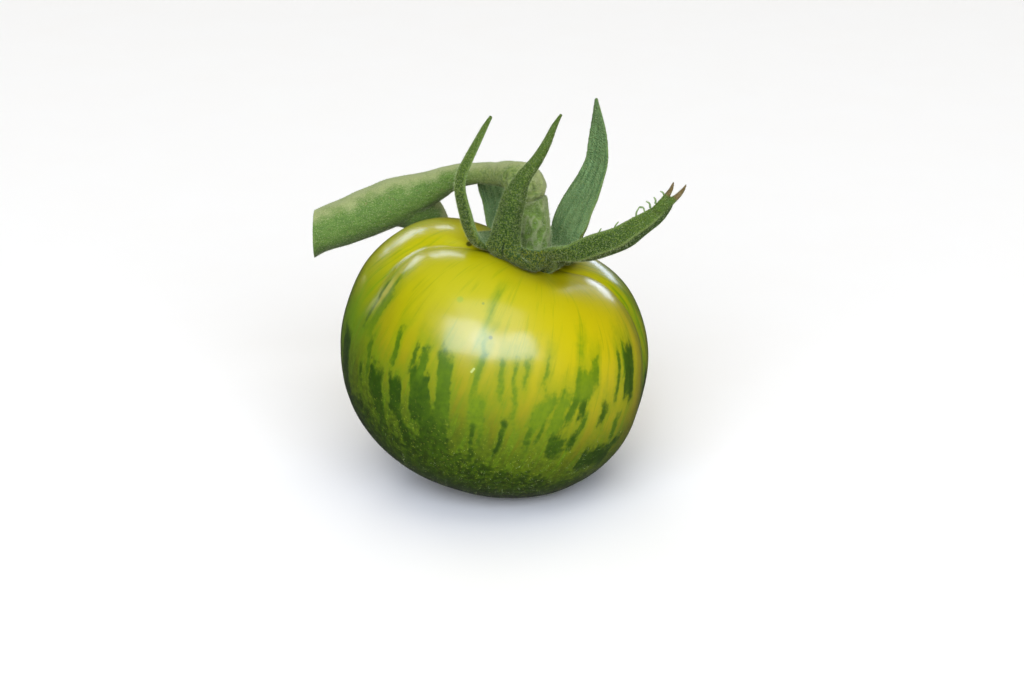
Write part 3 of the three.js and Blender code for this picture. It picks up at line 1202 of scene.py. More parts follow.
@dataclass(frozen=True)
class Coat:
    """A coat of short hairs on a piece.

    Attributes:
        name: Of the piece that the hairs make.
        slot: The name of the ground piece's material; not used.
        per_square: Hairs to a square millimetre.
        length: The mean length of a hair.
        seed: Starts the random draws.
        spread: The share by which lengths differ.
        thickness: Of a hair at its root.
        tousle: How far hairs lean from straight out, where 1 is about 45 degrees.
        where: Gives the share of hairs kept, from 0 to 1, at each of many points.
        sink: How deep the roots sit in the piece.
    """

    name: str
    slot: str
    per_square: float
    length: float
    seed: int
    spread: float = 0.6
    thickness: float = 0.026
    tousle: float = 0.8
    where: Callable[[Array], Array] = everywhere
    sink: float = 0.03

    def build(self, ground: bpy.types.Object, finish: HairFinish) -> bpy.types.Object:
        """Makes the coat's piece.

        Args:
            ground: The piece that the hairs grow on.
            finish: Of the hairs.

        Returns:
            The piece.
        """
        piece = self._grow(ground).piece(self.name)
        piece.data.polygons.foreach_set("use_smooth", [False] * len(piece.data.polygons))
        piece.data.materials.append(finish.material())
        return piece

    def _grow(self, ground: bpy.types.Object) -> Shell:
        """Grows the hairs as closed three-sided spikes.

        Args:
            ground: The piece that they grow on.

        Returns:
            One shell of all the hairs, with the mark "along" from root to tip.
        """
        random = np.random.default_rng(self.seed)
        mesh = ground.data
        mesh.calc_loop_triangles()
        corners = np.zeros(len(mesh.loop_triangles) * 3, np.int32)
        mesh.loop_triangles.foreach_get("vertices", corners)
        points, normals = points_of(mesh), normals_of(mesh)
        first, second, third = points[corners.reshape(-1, 3)].transpose(1, 0, 2)
        areas = np.linalg.norm(np.cross(second - first, third - first), axis=1) / 2
        count = int(areas.sum() * self.per_square)
        picked = random.choice(len(areas), count, p=areas / areas.sum())
        u, v = random.random((2, count, 1))
        flip = u + v > 1
        u, v = np.where(flip, 1 - u, u), np.where(flip, 1 - v, v)
        roots = first[picked] + u * (second - first)[picked] + v * (third - first)[picked]
        outward = normals[corners.reshape(-1, 3)[picked]].mean(1)
        kept = random.random(count) < self.where(roots)
        roots, outward = roots[kept], unit(outward[kept])
        log.info("%s: %d hairs", self.name, len(roots))
        lean = random.normal(size=roots.shape) * self.tousle * 0.6
        way = unit(outward + lean - outward * (lean * outward).sum(1, keepdims=True))
        length = self.length * (1 + self.spread * random.uniform(-1, 1, (len(roots), 1)))
        side = unit(np.cross(way, random.normal(size=roots.shape)))
        other = np.cross(way, side)
        angles = [math.radians(120 * step) for step in range(3)]
        half = self.thickness / 2
        rim = [
            roots - self.sink * outward + half * (side * math.cos(a) + other * math.sin(a))
            for a in angles
        ]
        tips = roots + way * length
        spikes = np.stack([*rim, tips], axis=1).reshape(-1, 3)
        starts = np.arange(len(roots)) * 4
        pattern = ((0, 2, 1), (0, 1, 3), (1, 2, 3), (2, 0, 3))
        faces = [tuple(int(s + c) for c in face) for s in starts for face in pattern]
        along = np.tile([0.0, 0.0, 0.0, 1.0], len(roots))
        return Shell(spikes, faces, {"along": along})


# ---- Calyx -------------------------------------------------------------------------------------


@dataclass(frozen=True)
class Sepal:
    """One sepal, a cupped blade whose inner face looks at the stem.

    Attributes:
        node: The frame's node that it stands for.
        azimuth: Where it leaves the receptacle, about the fruit's axis.
        facing: The azimuth that its back looks to once it is free of the rim.
        roll: How far it turns about its own length, at its base and at its tip.
        cup: How far its margins curl in, as a share of its half width.
        keel: How far its midrib stands out of its back. Below nothing it is a crease.
        stations: Places and half widths from the rim to the tip.
        base: How far out on the receptacle it springs, how high over the skin, and its
            half width there.
        rib_at: Where its midrib runs, from one margin at -1 to the other at 1.
        shade_beyond_rib: How much painted shade darkens its back beyond the midrib.
    """

    node: str
    azimuth: float
    facing: float
    roll: tuple[float, float]
    cup: float
    keel: float
    stations: tuple[Station, ...]
    base: tuple[float, float, float] = (7.4, 0.9, 3.2)
    rib_at: float = 0.0
    shade_beyond_rib: float = 0.0


SEPALS = (
    Sepal(
        "sepal_front",
        -106,
        -95,
        (0, 0),
        0.75,
        -0.5,
        (
            (-2.2, -10.0, 49.8, 3.6),
            (-2.1, -10.7, 52.6, 2.9),
            (-1.3, -11.4, 57.0, 2.5),
            (-0.4, -11.8, 60.7, 2.25),
            (1.4, -12.2, 65.0, 1.5),
            (3.7, -12.2, 68.3, 1.15),
            (5.5, -11.8, 71.5, 0.9),
            (6.9, -11.0, 74.5, 0.6),
            (8.2, -10.4, 76.6, 0.25),
        ),
    ),
    Sepal(
        "sepal_right",
        -62,
        -40,
        (-50, -64),
        0.22,
        0.45,
        (
            (6.9, -8.3, 48.9, 2.3),
            (11.2, -10.4, 49.7, 2.7),
            (15.1, -12.2, 51.6, 3.0),
            (19.1, -13.4, 53.6, 2.7),
            (21.9, -14.0, 55.8, 2.3),
            (25.3, -14.3, 58.4, 1.8),
            (27.1, -14.3, 60.3, 1.3),
            (28.0, -14.2, 61.4, 0.8),
        ),
        (6.4, 2.5, 2.5),
        0.24,
        0.85,
    ),
    Sepal(
        "sepal_back_right",
        42,
        62,
        (0, 0),
        0.25,
        0.2,
        (
            (10.3, 7.0, 48.7, 3.9),
            (11.6, 9.2, 51.2, 3.8),
            (13.2, 11.0, 53.9, 3.5),
            (14.7, 12.4, 57.0, 2.9),
            (15.8, 13.2, 60.2, 2.5),
            (16.0, 13.6, 63.7, 2.2),
            (15.9, 13.6, 67.3, 1.6),
            (15.3, 12.4, 73.0, 0.3),
        ),
    ),
    Sepal(
        "sepal_back_left",
        116,
        105,
        (0, 0),
        0.3,
        0.2,
        (
            (-2.6, 7.6, 48.6, 3.2),
            (-3.1, 9.6, 50.4, 3.2),
            (-3.6, 11.8, 52.0, 3.1),
            (-4.2, 14.2, 53.6, 3.3),
            (-4.7, 16.4, 55.0, 3.0),
            (-5.0, 18.4, 56.0, 1.9),
            (-5.2, 19.8, 56.6, 0.4),
        ),
    ),
    Sepal(
        "sepal_left",
        196,
        190,
        (10, 20),
        0.35,
        0.15,
        (
            (-7.3, -7.4, 51.5, 2.9),
            (-8.8, -8.4, 54.2, 2.5),
            (-9.7, -9.0, 57.4, 2.2),
            (-10.3, -9.4, 60.1, 2.0),
            (-10.6, -9.6, 62.7, 1.8),
            (-10.2, -9.6, 65.2, 1.6),
            (-9.0, -9.2, 67.7, 1.4),
            (-7.4, -8.6, 70.6, 1.1),
            (-5.9, -7.8, 73.2, 0.8),
            (-4.5, -7.2, 75.3, 0.3),
        ),
    ),
)


@dataclass(frozen=True)
class Swell:
    """Something of the receptacle that is greatest at one azimuth and fades to both sides.

    Attributes:
        azimuth: Where it is greatest.
        width: The angle over which it fades.
        amount: How much there is at that azimuth, below nothing where it shrinks.
    """

    azimuth: float
    width: float
    amount: float

    def at(self, azimuths: Array) -> Array:
        """How much of it there is at each azimuth."""
        return self.amount * bell(turn_between(self.azimuth, azimuths), self.width)


@dataclass(frozen=True)
class CalyxFinish:
    """The calyx's matt green, grainy outside, greyer and veined inside, with dried prongs.

    Attributes:
        outer: Of the grains on the outer faces.
        outer_deep: Of the gaps between the grains, and of the painted shade beyond a midrib.
        inner: Of the veins on the inner faces.
        inner_deep: Of the inner faces between the veins.
        base: Of the grains on the receptacle and the sepals' bases.
        margin: Of the sepals' margins.
        rib: Of a raised midrib, pale partly as painted highlight.
        crease: Of the painted shade in a creased midrib near its base.
        down: Of pale flecks where hairs stand.
        dried: Of the dried prongs.
    """

    outer: Colour = paint(90, 114, 30)
    outer_deep: Colour = paint(40, 66, 4)
    inner: Colour = paint(112, 142, 84)
    inner_deep: Colour = paint(80, 112, 62)
    base: Colour = paint(120, 124, 20)
    margin: Colour = paint(118, 140, 64)
    rib: Colour = paint(150, 168, 90)
    crease: Colour = paint(30, 50, 8)
    down: Colour = paint(142, 158, 84)
    dried: Colour = paint(112, 92, 50)

    def material(self) -> bpy.types.Material:
        """Builds the material.

        Returns:
            The material. It reads "along", "across", "inner", "dry", "keel" and "shade_beyond_rib".
        """
        graph = Graph("calyx_green")
        along, across = graph.mark("along"), graph.mark("across")
        inner, dry = graph.mark("inner"), graph.mark("dry")
        keel, shade_beyond_rib = graph.mark("keel"), graph.mark("shade_beyond_rib")
        place = graph.place()
        # The grainy outer face: pale grains, with darker gaps between them.
        grains = graph.node(
            "ShaderNodeTexVoronoi", {"feature": "F1"}, {"Vector": place, "Scale": 2.7}
        )
        cells = 1.0 - grains.within(0.15, 0.62) + (graph.noise(place, 1.2, 2.0) - 0.5) * 0.9
        cloud = graph.noise(place, 0.45, 2.0)
        light = graph.mix((1.0 - along.within(0.14, 0.38)) * 0.85, self.outer, self.base)
        gap = graph.mix(along.within(0.35, 0.85) * 0.5, self.outer_deep, self.outer)
        skin = graph.mix(cells.within(0.0, 0.7), gap, light)
        # The inner face, veined along the blade.
        blade = graph.node("ShaderNodeCombineXYZ", {}, {0: across * 5.0, 1: along * 2.5})
        vein = graph.noise(blade, 1.0, 2.0)
        inside = graph.mix(vein.within(0.3, 0.65), self.inner_deep, self.inner)
        skin = graph.mix(inner.within(0.35, 0.75) * 0.9, skin, inside)
        skin = graph.mix(cloud.within(0.35, 0.75) * 0.2, skin, self.outer_deep)
        # Margins, hairs, midribs and creases, painted shade beyond the midrib, and dried ends.
        side = across * across
        edge = side.within(0.72, 0.98) * along.within(0.15, 0.3)
        skin = graph.mix(edge * 0.6, skin, self.margin)
        fleck = graph.noise(place, 3.4, 2.0).within(0.55, 0.7)
        skin = graph.mix(fleck * 0.5, skin, self.down)
        # A raised midrib is pale, partly as painted highlight.
        skin = graph.mix(keel.within(0.3, 0.9) * 0.8, skin, self.rib)
        # A creased midrib is dark near its base with painted shade.
        crease = (0.0 - keel).within(0.55, 0.95) * (1.0 - along.within(0.35, 0.5))
        skin = graph.mix(crease, skin, self.crease)
        # Painted shade on the back beyond the midrib.
        skin = graph.mix(shade_beyond_rib * 0.9, skin, self.outer_deep)
        skin = graph.mix(dry.within(0.2, 0.8), skin, self.dried)
        inputs = {
            "Base Color": skin,
            "Roughness": 0.62 + cells * 0.2,
            "Normal": graph.bump(cells + fleck * 0.5, 0.2, 0.9),
            "Specular IOR Level": 0.3,
            "Sheen Weight": 0.06,
            "Sheen Roughness": 0.5,
            "Sheen Tint": paint(206, 214, 140),
        }
        return graph.surface(inputs)


@dataclass
class Calyx:
    """The receptacle and five sepals, grown together at their feet as on the plant.

    Attributes:
        shape: The fruit's form, on whose skin the receptacle sits.
        finish: Of the whole calyx.
        sepals: The five sepals.
        thickness: Of a sepal at its root.
        middle_thickness: Of a sepal at two fifths of its length.
        tip_thickness: Of a sepal at its tip.
        root_reach: How far from the axis each sepal starts, inside the receptacle.
        freed_at: The share of a sepal's length where it leaves the receptacle's rim.
        cup_profile: The receptacle's half section, as distances from the axis and heights
            over the skin.
        prongs: The dried prongs at the right sepal's tip.
        webs: Places where the receptacle's rim rises between two sepals, by shares.
        lift: Where the receptacle stands off the skin, by how far.
        waist: Where the receptacle is wider or narrower, by shares.
        voxel: The size of the finished skin's faces.
        smoothing: How many times that skin is smoothed.
        steps: Rings along a sepal.
        sides: Points on each of them.
        cup_steps: Rings of the receptacle.
        cup_sides: Points on each of them.
        prong_steps: Rings along a prong.
        prong_sides: Points on each of them.
    """

    shape: FruitShape
    finish: CalyxFinish = CalyxFinish()
    sepals: tuple[Sepal, ...] = SEPALS
    thickness: float = 2.4
    middle_thickness: float = 1.5
    tip_thickness: float = 0.7
    root_reach: float = 4.6
    freed_at: float = 0.3
    cup_profile: tuple[tuple[float, float], ...] = (
        (0.0, -0.4),
        (4.5, -0.3),
        (7.0, -0.2),
        (8.3, 0.15),
        (9.0, 1.1),
        (9.2, 2.5),
        (9.0, 3.6),
        (8.2, 3.5),
        (7.0, 1.9),
        (5.0, 1.3),
        (0.0, 1.5),
    )
    prongs: tuple[tuple[Station, ...], ...] = (
        (
            (25.3, -14.4, 59.6, 0.8),
            (26.8, -14.4, 61.6, 0.65),
            (27.7, -14.2, 62.9, 0.5),
            (28.2, -14.0, 63.8, 0.38),
            (28.5, -13.8, 64.9, 0.16),
        ),
        (
            (26.2, -14.3, 59.4, 0.9),
            (28.0, -14.3, 61.2, 0.75),
            (29.2, -14.2, 62.2, 0.55),
            (30.1, -14.1, 63.2, 0.4),
            (30.9, -13.8, 64.4, 0.16),
        ),
    )
    webs: tuple[Swell, ...] = (Swell(-84.0, 18.0, 0.15), Swell(158.0, 24.0, 0.35))
    lift: Swell = Swell(-46.0, 42.0, 2.2)
    waist: tuple[Swell, ...] = (Swell(-126.0, 32.0, 0.2), Swell(-40.0, 56.0, -0.18))
    voxel: float = 0.2
    smoothing: int = 4
    steps: int = 110
    sides: int = 36
    cup_steps: int = 60
    cup_sides: int = 120
    prong_steps: int = 24
    prong_sides: int = 12

    def build(self) -> bpy.types.Object:
        """Makes the calyx's piece.

        Returns:
            The piece, which stands for the frame's hub and sepals.
        """
        shell = self._receptacle()
        for sepal in self.sepals:
            shell = shell.joined(self._blade(sepal))
        for prong in self.prongs:
            shell = shell.joined(self._prong(prong))
        piece = fuse("calyx", shell, self.voxel, self.smoothing)
        piece.data.materials.clear()
        piece.data.materials.append(self.finish.material())
        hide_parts("calyx_hub", *(sepal.node for sepal in self.sepals))
        return piece

    def _receptacle(self) -> Shell:
        """Shapes the shallow cup that the sepals stand on.

        Returns:
            A closed shell with all the marks of the calyx.
        """
        profile = np.array(self.cup_profile)
        share = np.linspace(0, 1, self.cup_steps)
        dense, _ = curve_through(np.column_stack([profile, np.zeros(len(profile))]), share)
        azimuths = np.arange(self.cup_sides) * 360.0 / self.cup_sides
        web = 1 + sum(rise.at(azimuths) for rise in self.webs)
        waist = 1 + sum(swell.at(azimuths) for swell in self.waist)
        reach = np.maximum(dense[:, :1], 0.02) * waist
        skin = [self.shape.skin_height(a, r) for a, r in zip(azimuths, reach.T, strict=True)]
        height = np.array(skin).T + dense[:, 1:2] * np.where(dense[:, 1:2] > 0, web, 1.0)
        height = height + self.lift.at(azimuths) * ease(dense[:, :1], 3.0, 8.0)
        turn = np.radians(azimuths)
        rings = np.stack([reach * np.cos(turn), reach * np.sin(turn), height], axis=-1)
        none = np.zeros(rings.shape[:2])
        inner = np.repeat(ease(share, 0.5, 0.7)[:, None], len(azimuths), 1)
        marks = {
            "along": none,
            "across": none + 0.4,
            "inner": inner,
            "dry": none,
            "keel": none,
            "shade_beyond_rib": none,
        }
        return tube(self.shape.placed(rings), marks)

    def _blade(self, sepal: Sepal) -> Shell:
        """Shapes a sepal as a closed blade.

        Args:
            sepal: The sepal.

        Returns:
            A closed shell with all the marks of the calyx.
        """
        root = self.shape.above_dimple(sepal.azimuth, self.root_reach, 0.7)
        reach, rise, half_width = sepal.base
        base = self.shape.above_dimple(sepal.azimuth, reach, rise)
        start = [[*root, half_width * 0.8], [*base, half_width]]
        stations = np.array([*start, *sepal.stations])
        along = np.linspace(0, 1, self.steps)
        centre, tangent = curve_through(stations[:, :3], along)
        half = np.maximum(sizes_along(stations[:, 3], along), 0.15)[:, None]
        freed = ease(along, 0.1, self.freed_at + 0.1)[:, None]
        # The way across the blade turns from the rim's to its own, and then rolls.
        rim_way = self.shape.leaned(round_axis(sepal.azimuth))
        width = rim_way * (1 - freed) + round_axis(sepal.facing) * freed
        side = unit(width - tangent * (width * tangent).sum(1, keepdims=True))
        roll = np.radians(np.interp(along, [0, 1], sepal.roll))[:, None] * freed
        side = side * np.cos(roll) + np.cross(tangent, side) * np.sin(roll)
        inward = np.cross(tangent, side)
        # Its section is a lens with curled margins and a midrib.
        angle = np.linspace(0, 2 * math.pi, self.sides, endpoint=False)[None, :]
        across = -np.sin(angle)
        face = np.cos(angle)
        sizes = [self.thickness, self.middle_thickness, self.tip_thickness]
        thickness = np.interp(along, [0, 0.4, 1], sizes)
        outer_side = ease(-face, 0.0, 0.5)
        rib = sepal.keel * bell(across - sepal.rib_at, 0.17) * outer_side
        rib = rib * ease(1 - along, 0.05, 0.3)[:, None]
        fold = 0.6 * np.abs(across) + 0.4 * across**2
        offset = thickness[:, None] / 2 * face + sepal.cup * freed * half * fold - rib
        rings = (
            centre[:, None, :]
            + side[:, None, :] * (half * across)[..., None]
            + inward[:, None, :] * offset[..., None]
        )
        spread = np.ones_like(offset)
        at_base = 1 - ease(along, 0.12, 0.3)[:, None]
        # The midrib's line: partly painted highlight on a raised rib, painted shade in a crease.
        rib_line = bell(across - sepal.rib_at, 0.12) * outer_side
        # The back beyond the midrib, darkened with painted shade.
        beyond_rib = ease(across, sepal.rib_at, sepal.rib_at + 0.2) * outer_side
        marks = {
            "along": along[:, None] * spread,
            "across": across * spread,
            "inner": ease(face - 0.6 * at_base, -0.3, 0.3),
            "dry": 0 * spread,
            "keel": np.sign(sepal.keel) * rib_line * spread,
            "shade_beyond_rib": sepal.shade_beyond_rib * beyond_rib * spread,
        }
        return tube(rings, marks)

    def _prong(self, stations: tuple[Station, ...]) -> Shell:
        """Shapes one of the two dried prongs that the right sepal's tip has split into.

        Args:
            stations: Places and radii from the sepal to the prong's point.

        Returns:
            A closed shell with all the marks of the calyx.
        """
        along = np.linspace(0, 1, self.prong_steps)
        rings, _ = round_rings(np.array(stations), along, self.prong_sides)
        dry = ease(along, 0.25, 0.6)[:, None] * np.ones((1, self.prong_sides))
        none = np.zeros_like(dry)
        marks = {name: none for name in ("inner", "keel", "shade_beyond_rib")}
        marks.update({"along": none + 1, "across": none + 0.3, "dry": dry})
        return tube(rings, marks)


def round_rings(stations: Array, along: Array, sides: int) -> tuple[Array, Array]:
    """Round rings along a curve.

    Args:
        stations: Rows of a place and a radius.
        along: Where the rings stand, from 0 to 1.
        sides: Points on each ring.

    Returns:
        The rings, and the angle of each point, from +Y towards the upper side of the curve.
    """
    centre, tangent = curve_through(stations[:, :3], along)
    radius = sizes_along(stations[:, 3], along)
    across = np.array([0.0, 1.0, 0.0])
    side = unit(across - tangent * (tangent @ across)[:, None])
    upward = np.cross(tangent, side)
    angle = np.linspace(0, 2 * math.pi, sides, endpoint=False)
    ring = side[:, None, :] * np.cos(angle)[None, :, None]
    ring = ring + upward[:, None, :] * np.sin(angle)[None, :, None]
    rings = centre[:, None, :] + ring * radius[:, None, None]
    return rings, np.repeat(angle[None, :], len(along), 0)


@dataclass
class CurlyHairs:
    """The long curly hairs on the upper margin of the right sepal.

    Attributes:
        thickness: Of a hair at its root.
        tip_share: How thick its tip is, as a share of its root.
        finish: Of the hairs.
        hairs: The places that each hair runs through.
        steps: Rings along a hair.
        sides: Points on each of them.
    """

    thickness: float = 0.42
    tip_share: float = 0.6
    finish: HairFinish = HairFinish("curly_hair", paint(92, 118, 56), paint(136, 156, 92))
    hairs: tuple[tuple[tuple[float, float, float], ...], ...] = (
        ((15.3, -12.2, 53.6), (15.2, -12.4, 54.6), (15.6, -12.5, 55.5)),
        ((18.2, -12.8, 55.0), (18.1, -13.0, 56.0), (18.7, -13.1, 57.0)),
        ((21.0, -13.4, 56.7), (21.0, -13.5, 57.4), (21.3, -13.5, 58.0)),
        ((22.0, -13.6, 57.6), (21.9, -13.9, 59.0), (22.4, -14.0, 60.1)),
        ((22.4, -14.0, 60.1), (23.1, -14.0, 60.0), (23.5, -13.9, 58.6)),
        ((24.4, -14.0, 60.0), (24.2, -14.2, 60.9), (23.6, -14.2, 61.3)),
        ((25.3, -14.2, 60.9), (25.3, -14.3, 61.6), (25.0, -14.2, 62.1)),
        ((26.9, -14.2, 62.2), (26.6, -14.3, 63.0), (26.1, -14.2, 63.2)),
    )
    steps: int = 12
    sides: int = 8

    def build(self) -> bpy.types.Object:
        """Makes the curly hairs' piece.

        Returns:
            The piece.
        """
        along = np.linspace(0, 1, self.steps)
        mark = along[:, None] * np.ones((1, self.sides))
        shells = []
        for hair in self.hairs:
            radii = np.linspace(1.0, self.tip_share, len(hair)) * self.thickness / 2
            rings, _ = round_rings(np.column_stack([np.array(hair), radii]), along, self.sides)
            shells.append(tube(rings, {"along": mark}))
        piece = reduce(Shell.joined, shells).piece("sepal_curls")
        piece.data.materials.append(self.finish.material())
        return piece


# ---- Stems -------------------------------------------------------------------------------------


@dataclass(frozen=True)
class StemFinish:
    """The stems' matt grey-green, with grain along them, and bark, wood and pith where cut.

    Attributes:
        name: The material's name.
        body: Of the first half of the stem.
        upper: Of the painted highlight on its upper side, and of its flecks.
        shade_below: Of the painted shade on its lower side and in the hollows of its folds.
        grain: Of its grain.
        arch: Of its second half.
        ridge: Of the painted highlight on the crests of its folds.
        speck: Of small brown specks.
        bark: Of the cut's outer ring.
        wood: Of the cut's two wood rings.
        pith: Of the cut's pale rings.
        heart: Of the cut's middle.
    """

    name: str
    body: Colour
    upper: Colour
    shade_below: Colour
    grain: Colour
    arch: Colour
    ridge: Colour = paint(160, 164, 116)
    speck: Colour = paint(116, 108, 56)
    bark: Colour = paint(110, 132, 62)
    wood: Colour = paint(150, 168, 104)
    pith: Colour = paint(190, 200, 152)
    heart: Colour = paint(206, 208, 168)

    def material(self) -> bpy.types.Material:
        """Builds the material.

        Returns:
            The material. It reads "up", "along", "pith" and "ridge".
        """
        graph = Graph(self.name)
        place = graph.place()
        up, along = graph.mark("up"), graph.mark("along")
        pith, ridge = graph.mark("pith"), graph.mark("ridge")
        grain = graph.noise(graph.stretched(place, (0.9, 1.6, 2.2)), 1.0, 3.0)
        cloud = graph.noise(place, 0.3, 2.0)
        fleck = graph.noise(place, 4.5, 2.0)
        # The skin: paler arch, painted highlight above and shade below, grain, flecks and folds.
        skin = graph.mix(along.within(0.5, 0.68), self.body, self.arch)
        skin = graph.mix(grain.within(0.4, 0.62) * 0.6, skin, self.grain)
        # Painted highlight along the upper side.
        high = up + (cloud - 0.5) * 0.9 + (fleck - 0.5) * 0.6
        skin = graph.mix(high.within(0.45, 1.05) * 0.8, skin, self.upper)
        speck = graph.noise(place, 1.7, 1.0).within(0.68, 0.76)
        skin = graph.mix(speck * 0.55, skin, self.speck)
        # Painted shade along the lower side.
        low = (0.0 - up) + (cloud - 0.5) * 0.5
        skin = graph.mix(low.within(0.3, 0.95) * 0.8, skin, self.shade_below)
        skin = graph.mix(fleck.within(0.54, 0.68) * 0.4, skin, self.upper)
        # Painted highlight on the folds' crests and painted shade in their hollows.
        skin = graph.mix(ridge.within(0.25, 0.9) * 0.55, skin, self.ridge)
        skin = graph.mix((0.0 - ridge).within(0.1, 0.9) * 0.6, skin, self.shade_below)
        # The cut, from bark to heart.
        stops = [
            (0.0, self.bark),
            (0.3, self.wood),
            (0.5, self.pith),
            (0.62, self.wood),
            (0.8, self.pith),
            (1.0, self.heart),
        ]
        cut = graph.node("ShaderNodeValToRGB", {"stops": stops}, {0: pith + (fleck - 0.5) * 0.2})
        skin = graph.mix(pith.within(0.02, 0.08), skin, cut)
        inputs = {
            "Base Color": skin,
            "Roughness": 0.6 + fleck * 0.2,
            "Normal": graph.bump(grain + fleck * 0.5, 0.25, 0.9),
            "Specular IOR Level": 0.35,
            "Sheen Weight": 0.2,
            "Sheen Roughness": 0.5,
            "Sheen Tint": paint(210, 216, 180),
        }
        return graph.surface(inputs)


@dataclass
class TrussStem:
    """The truss stem, from its cut end over the arch to the swollen joint, and its side stub.

    Attributes:
        finish: Of the whole stem.
        cut_x: Where it is cut off, along X.
        main: Stations from beyond the cut to the joint.
        stub: Stations of the side stub.
        steps: Rings along the main stem.
        stub_steps: Rings along the stub.
        sides: Points on each ring.
        voxel: The size of the finished skin's faces.
        smoothing: How many times that skin is smoothed.
        rib_height: Of the soft ribs along the stem.
        wrinkle_height: Of the folds on the joint.
        joint_place: The middle of the swollen joint.
        joint_reach: How far from there the folds go.
        cut_rings: Rings of the cut face from its edge inwards. Each has its size as a share of
            the outline, how far behind the cut it lies, and its mark, 0 for bark to 1 for heart.
    """

    finish: StemFinish = StemFinish(
        "stem_green",
        body=paint(90, 120, 40),
        upper=paint(160, 164, 104),
        shade_below=paint(44, 66, 6),
        grain=paint(66, 98, 24),
        arch=paint(128, 144, 66),
    )
    cut_x: float = -39.4
    main: tuple[Station, ...] = (
        (-43.2, 15.0, 42.6, 4.2),
        (-38.7, 16.0, 44.9, 4.2),
        (-33.5, 17.0, 46.6, 4.5),
        (-28.2, 18.0, 48.5, 4.7),
        (-23.1, 18.6, 50.5, 4.6),
        (-17.7, 18.6, 52.7, 3.5),
        (-12.3, 16.0, 56.0, 2.5),
        (-7.8, 12.5, 58.0, 2.1),
        (-3.9, 8.0, 59.4, 2.2),
        (-1.1, 4.0, 60.4, 2.7),
        (1.0, 1.6, 60.1, 3.4),
        (2.2, 0.8, 58.8, 3.5),
        (2.9, 0.6, 57.0, 2.75),
    )
    stub: tuple[Station, ...] = (
        (-23.7, 19.0, 49.7, 4.2),
        (-20.8, 20.4, 48.6, 4.4),
        (-18.3, 22.0, 47.1, 3.9),
        (-16.6, 23.6, 44.8, 3.2),
        (-15.7, 24.8, 42.7, 2.7),
    )
    steps: int = 150
    stub_steps: int = 50
    sides: int = 48
    voxel: float = 0.28
    smoothing: int = 6
    rib_height: float = 0.1
    wrinkle_height: float = 0.42
    joint_place: tuple[float, float, float] = (1.8, 1.0, 59.2)
    joint_reach: float = 4.2
    cut_rings: tuple[tuple[float, float, float], ...] = (
        (0.93, -0.08, 0.1),
        (0.86, -0.1, 0.3),
        (0.78, 0.02, 0.5),
        (0.62, -0.06, 0.62),
        (0.45, 0.12, 0.75),
        (0.3, 0.2, 0.9),
        (0.12, 0.26, 1.0),
        (0.02, 0.28, 1.0),
    )

    def build(self) -> bpy.types.Object:
        """Makes the truss stem's piece.

        Returns:
            The piece, which stands for the frame's truss stem.
        """
        shell = self._branch(self.main, self.steps).joined(self._branch(self.stub, self.stub_steps))
        piece = fuse("truss_stem_grown", shell, self.voxel, self.smoothing)
        self._texture(piece.data)
        self._cut(piece.data)
        piece.data.materials.clear()
        piece.data.materials.append(self.finish.material())
        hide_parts("truss_stem")
        return piece

    def _branch(self, stations: tuple[Station, ...], steps: int) -> Shell:
        """Shapes a round branch.

        Args:
            stations: Places and radii.
            steps: Rings along it.

        Returns:
            A closed shell with the marks "up" and "along".
        """
        along = np.linspace(0, 1, steps)
        rings, angle = round_rings(np.array(stations), along, self.sides)
        # up runs from -1 below to 1 above, for painted shade and painted highlight.
        marks = {"up": np.sin(angle), "along": along[:, None] * np.ones_like(angle)}
        return tube(rings, marks)

    def _texture(self, mesh: bpy.types.Mesh) -> None:
        """Raises soft ribs along the stem, and wrinkles on its swollen joint.

        Args:
            mesh: The stem's mesh, whose points are moved.
        """
        points, outward = points_of(mesh), normals_of(mesh)
        long_grain = rough(points * np.array([0.25, 0.6, 0.9]), 1.1)
        far = np.linalg.norm(points - np.array(self.joint_place), axis=1)
        near = 1 - ease(far, self.joint_reach * 0.7, self.joint_reach * 1.3)
        crinkle = wrinkles(points, (1.0, 1.0, 0.4), 9.0)
        height = self.rib_height * long_grain * (1 - near) + self.wrinkle_height * crinkle * near
        set_points(mesh, points + outward * height[:, None])
        # The folds' mark, for painted highlight on their crests and painted shade in their hollows.
        write_marks(mesh, {"ridge": crinkle * near})

    def _cut(self, mesh: bpy.types.Mesh) -> None:
        """Cuts the stem off square, and finishes the cut with bark, wood and pith.

        Args:
            mesh: The stem's mesh, which is changed.
        """
        work = bmesh.new()
        work.from_mesh(mesh)
        pith = work.verts.layers.float.new("pith")
        bmesh.ops.bisect_plane(
            work,
            geom=[*work.verts, *work.edges, *work.faces],
            plane_co=(self.cut_x * METRES, 0.0, 0.0),
            plane_no=(-1.0, 0.0, 0.0),
            clear_outer=True,
        )
        rim = [edge for edge in work.edges if edge.is_boundary]
        face = bmesh.ops.contextual_create(work, geom=rim)["faces"][0]
        outline = list(face.verts)
        work.faces.remove(face)
        centre = sum((vertex.co for vertex in outline), Vector()) / len(outline)
        # Each ring is the outline drawn in towards its centre, so that rings can't cross.
        outer = outline
        for share, depth, value in self.cut_rings:
            ring = []
            for vertex in outline:
                place = centre.lerp(vertex.co, share) + Vector((depth * METRES, 0.0, 0.0))
                inner = work.verts.new(place)
                inner[pith] = value
                ring.append(inner)
            for index in range(len(ring)):
                follow = (index + 1) % len(ring)
                work.faces.new((outer[index], outer[follow], ring[follow], ring[index]))
            outer = ring
        work.faces.new(outer)
        bmesh.ops.triangulate(work, faces=[face for face in work.faces if len(face.verts) > 4])
        bmesh.ops.recalc_face_normals(work, faces=work.faces[:])
        work.to_mesh(mesh)
        work.free()


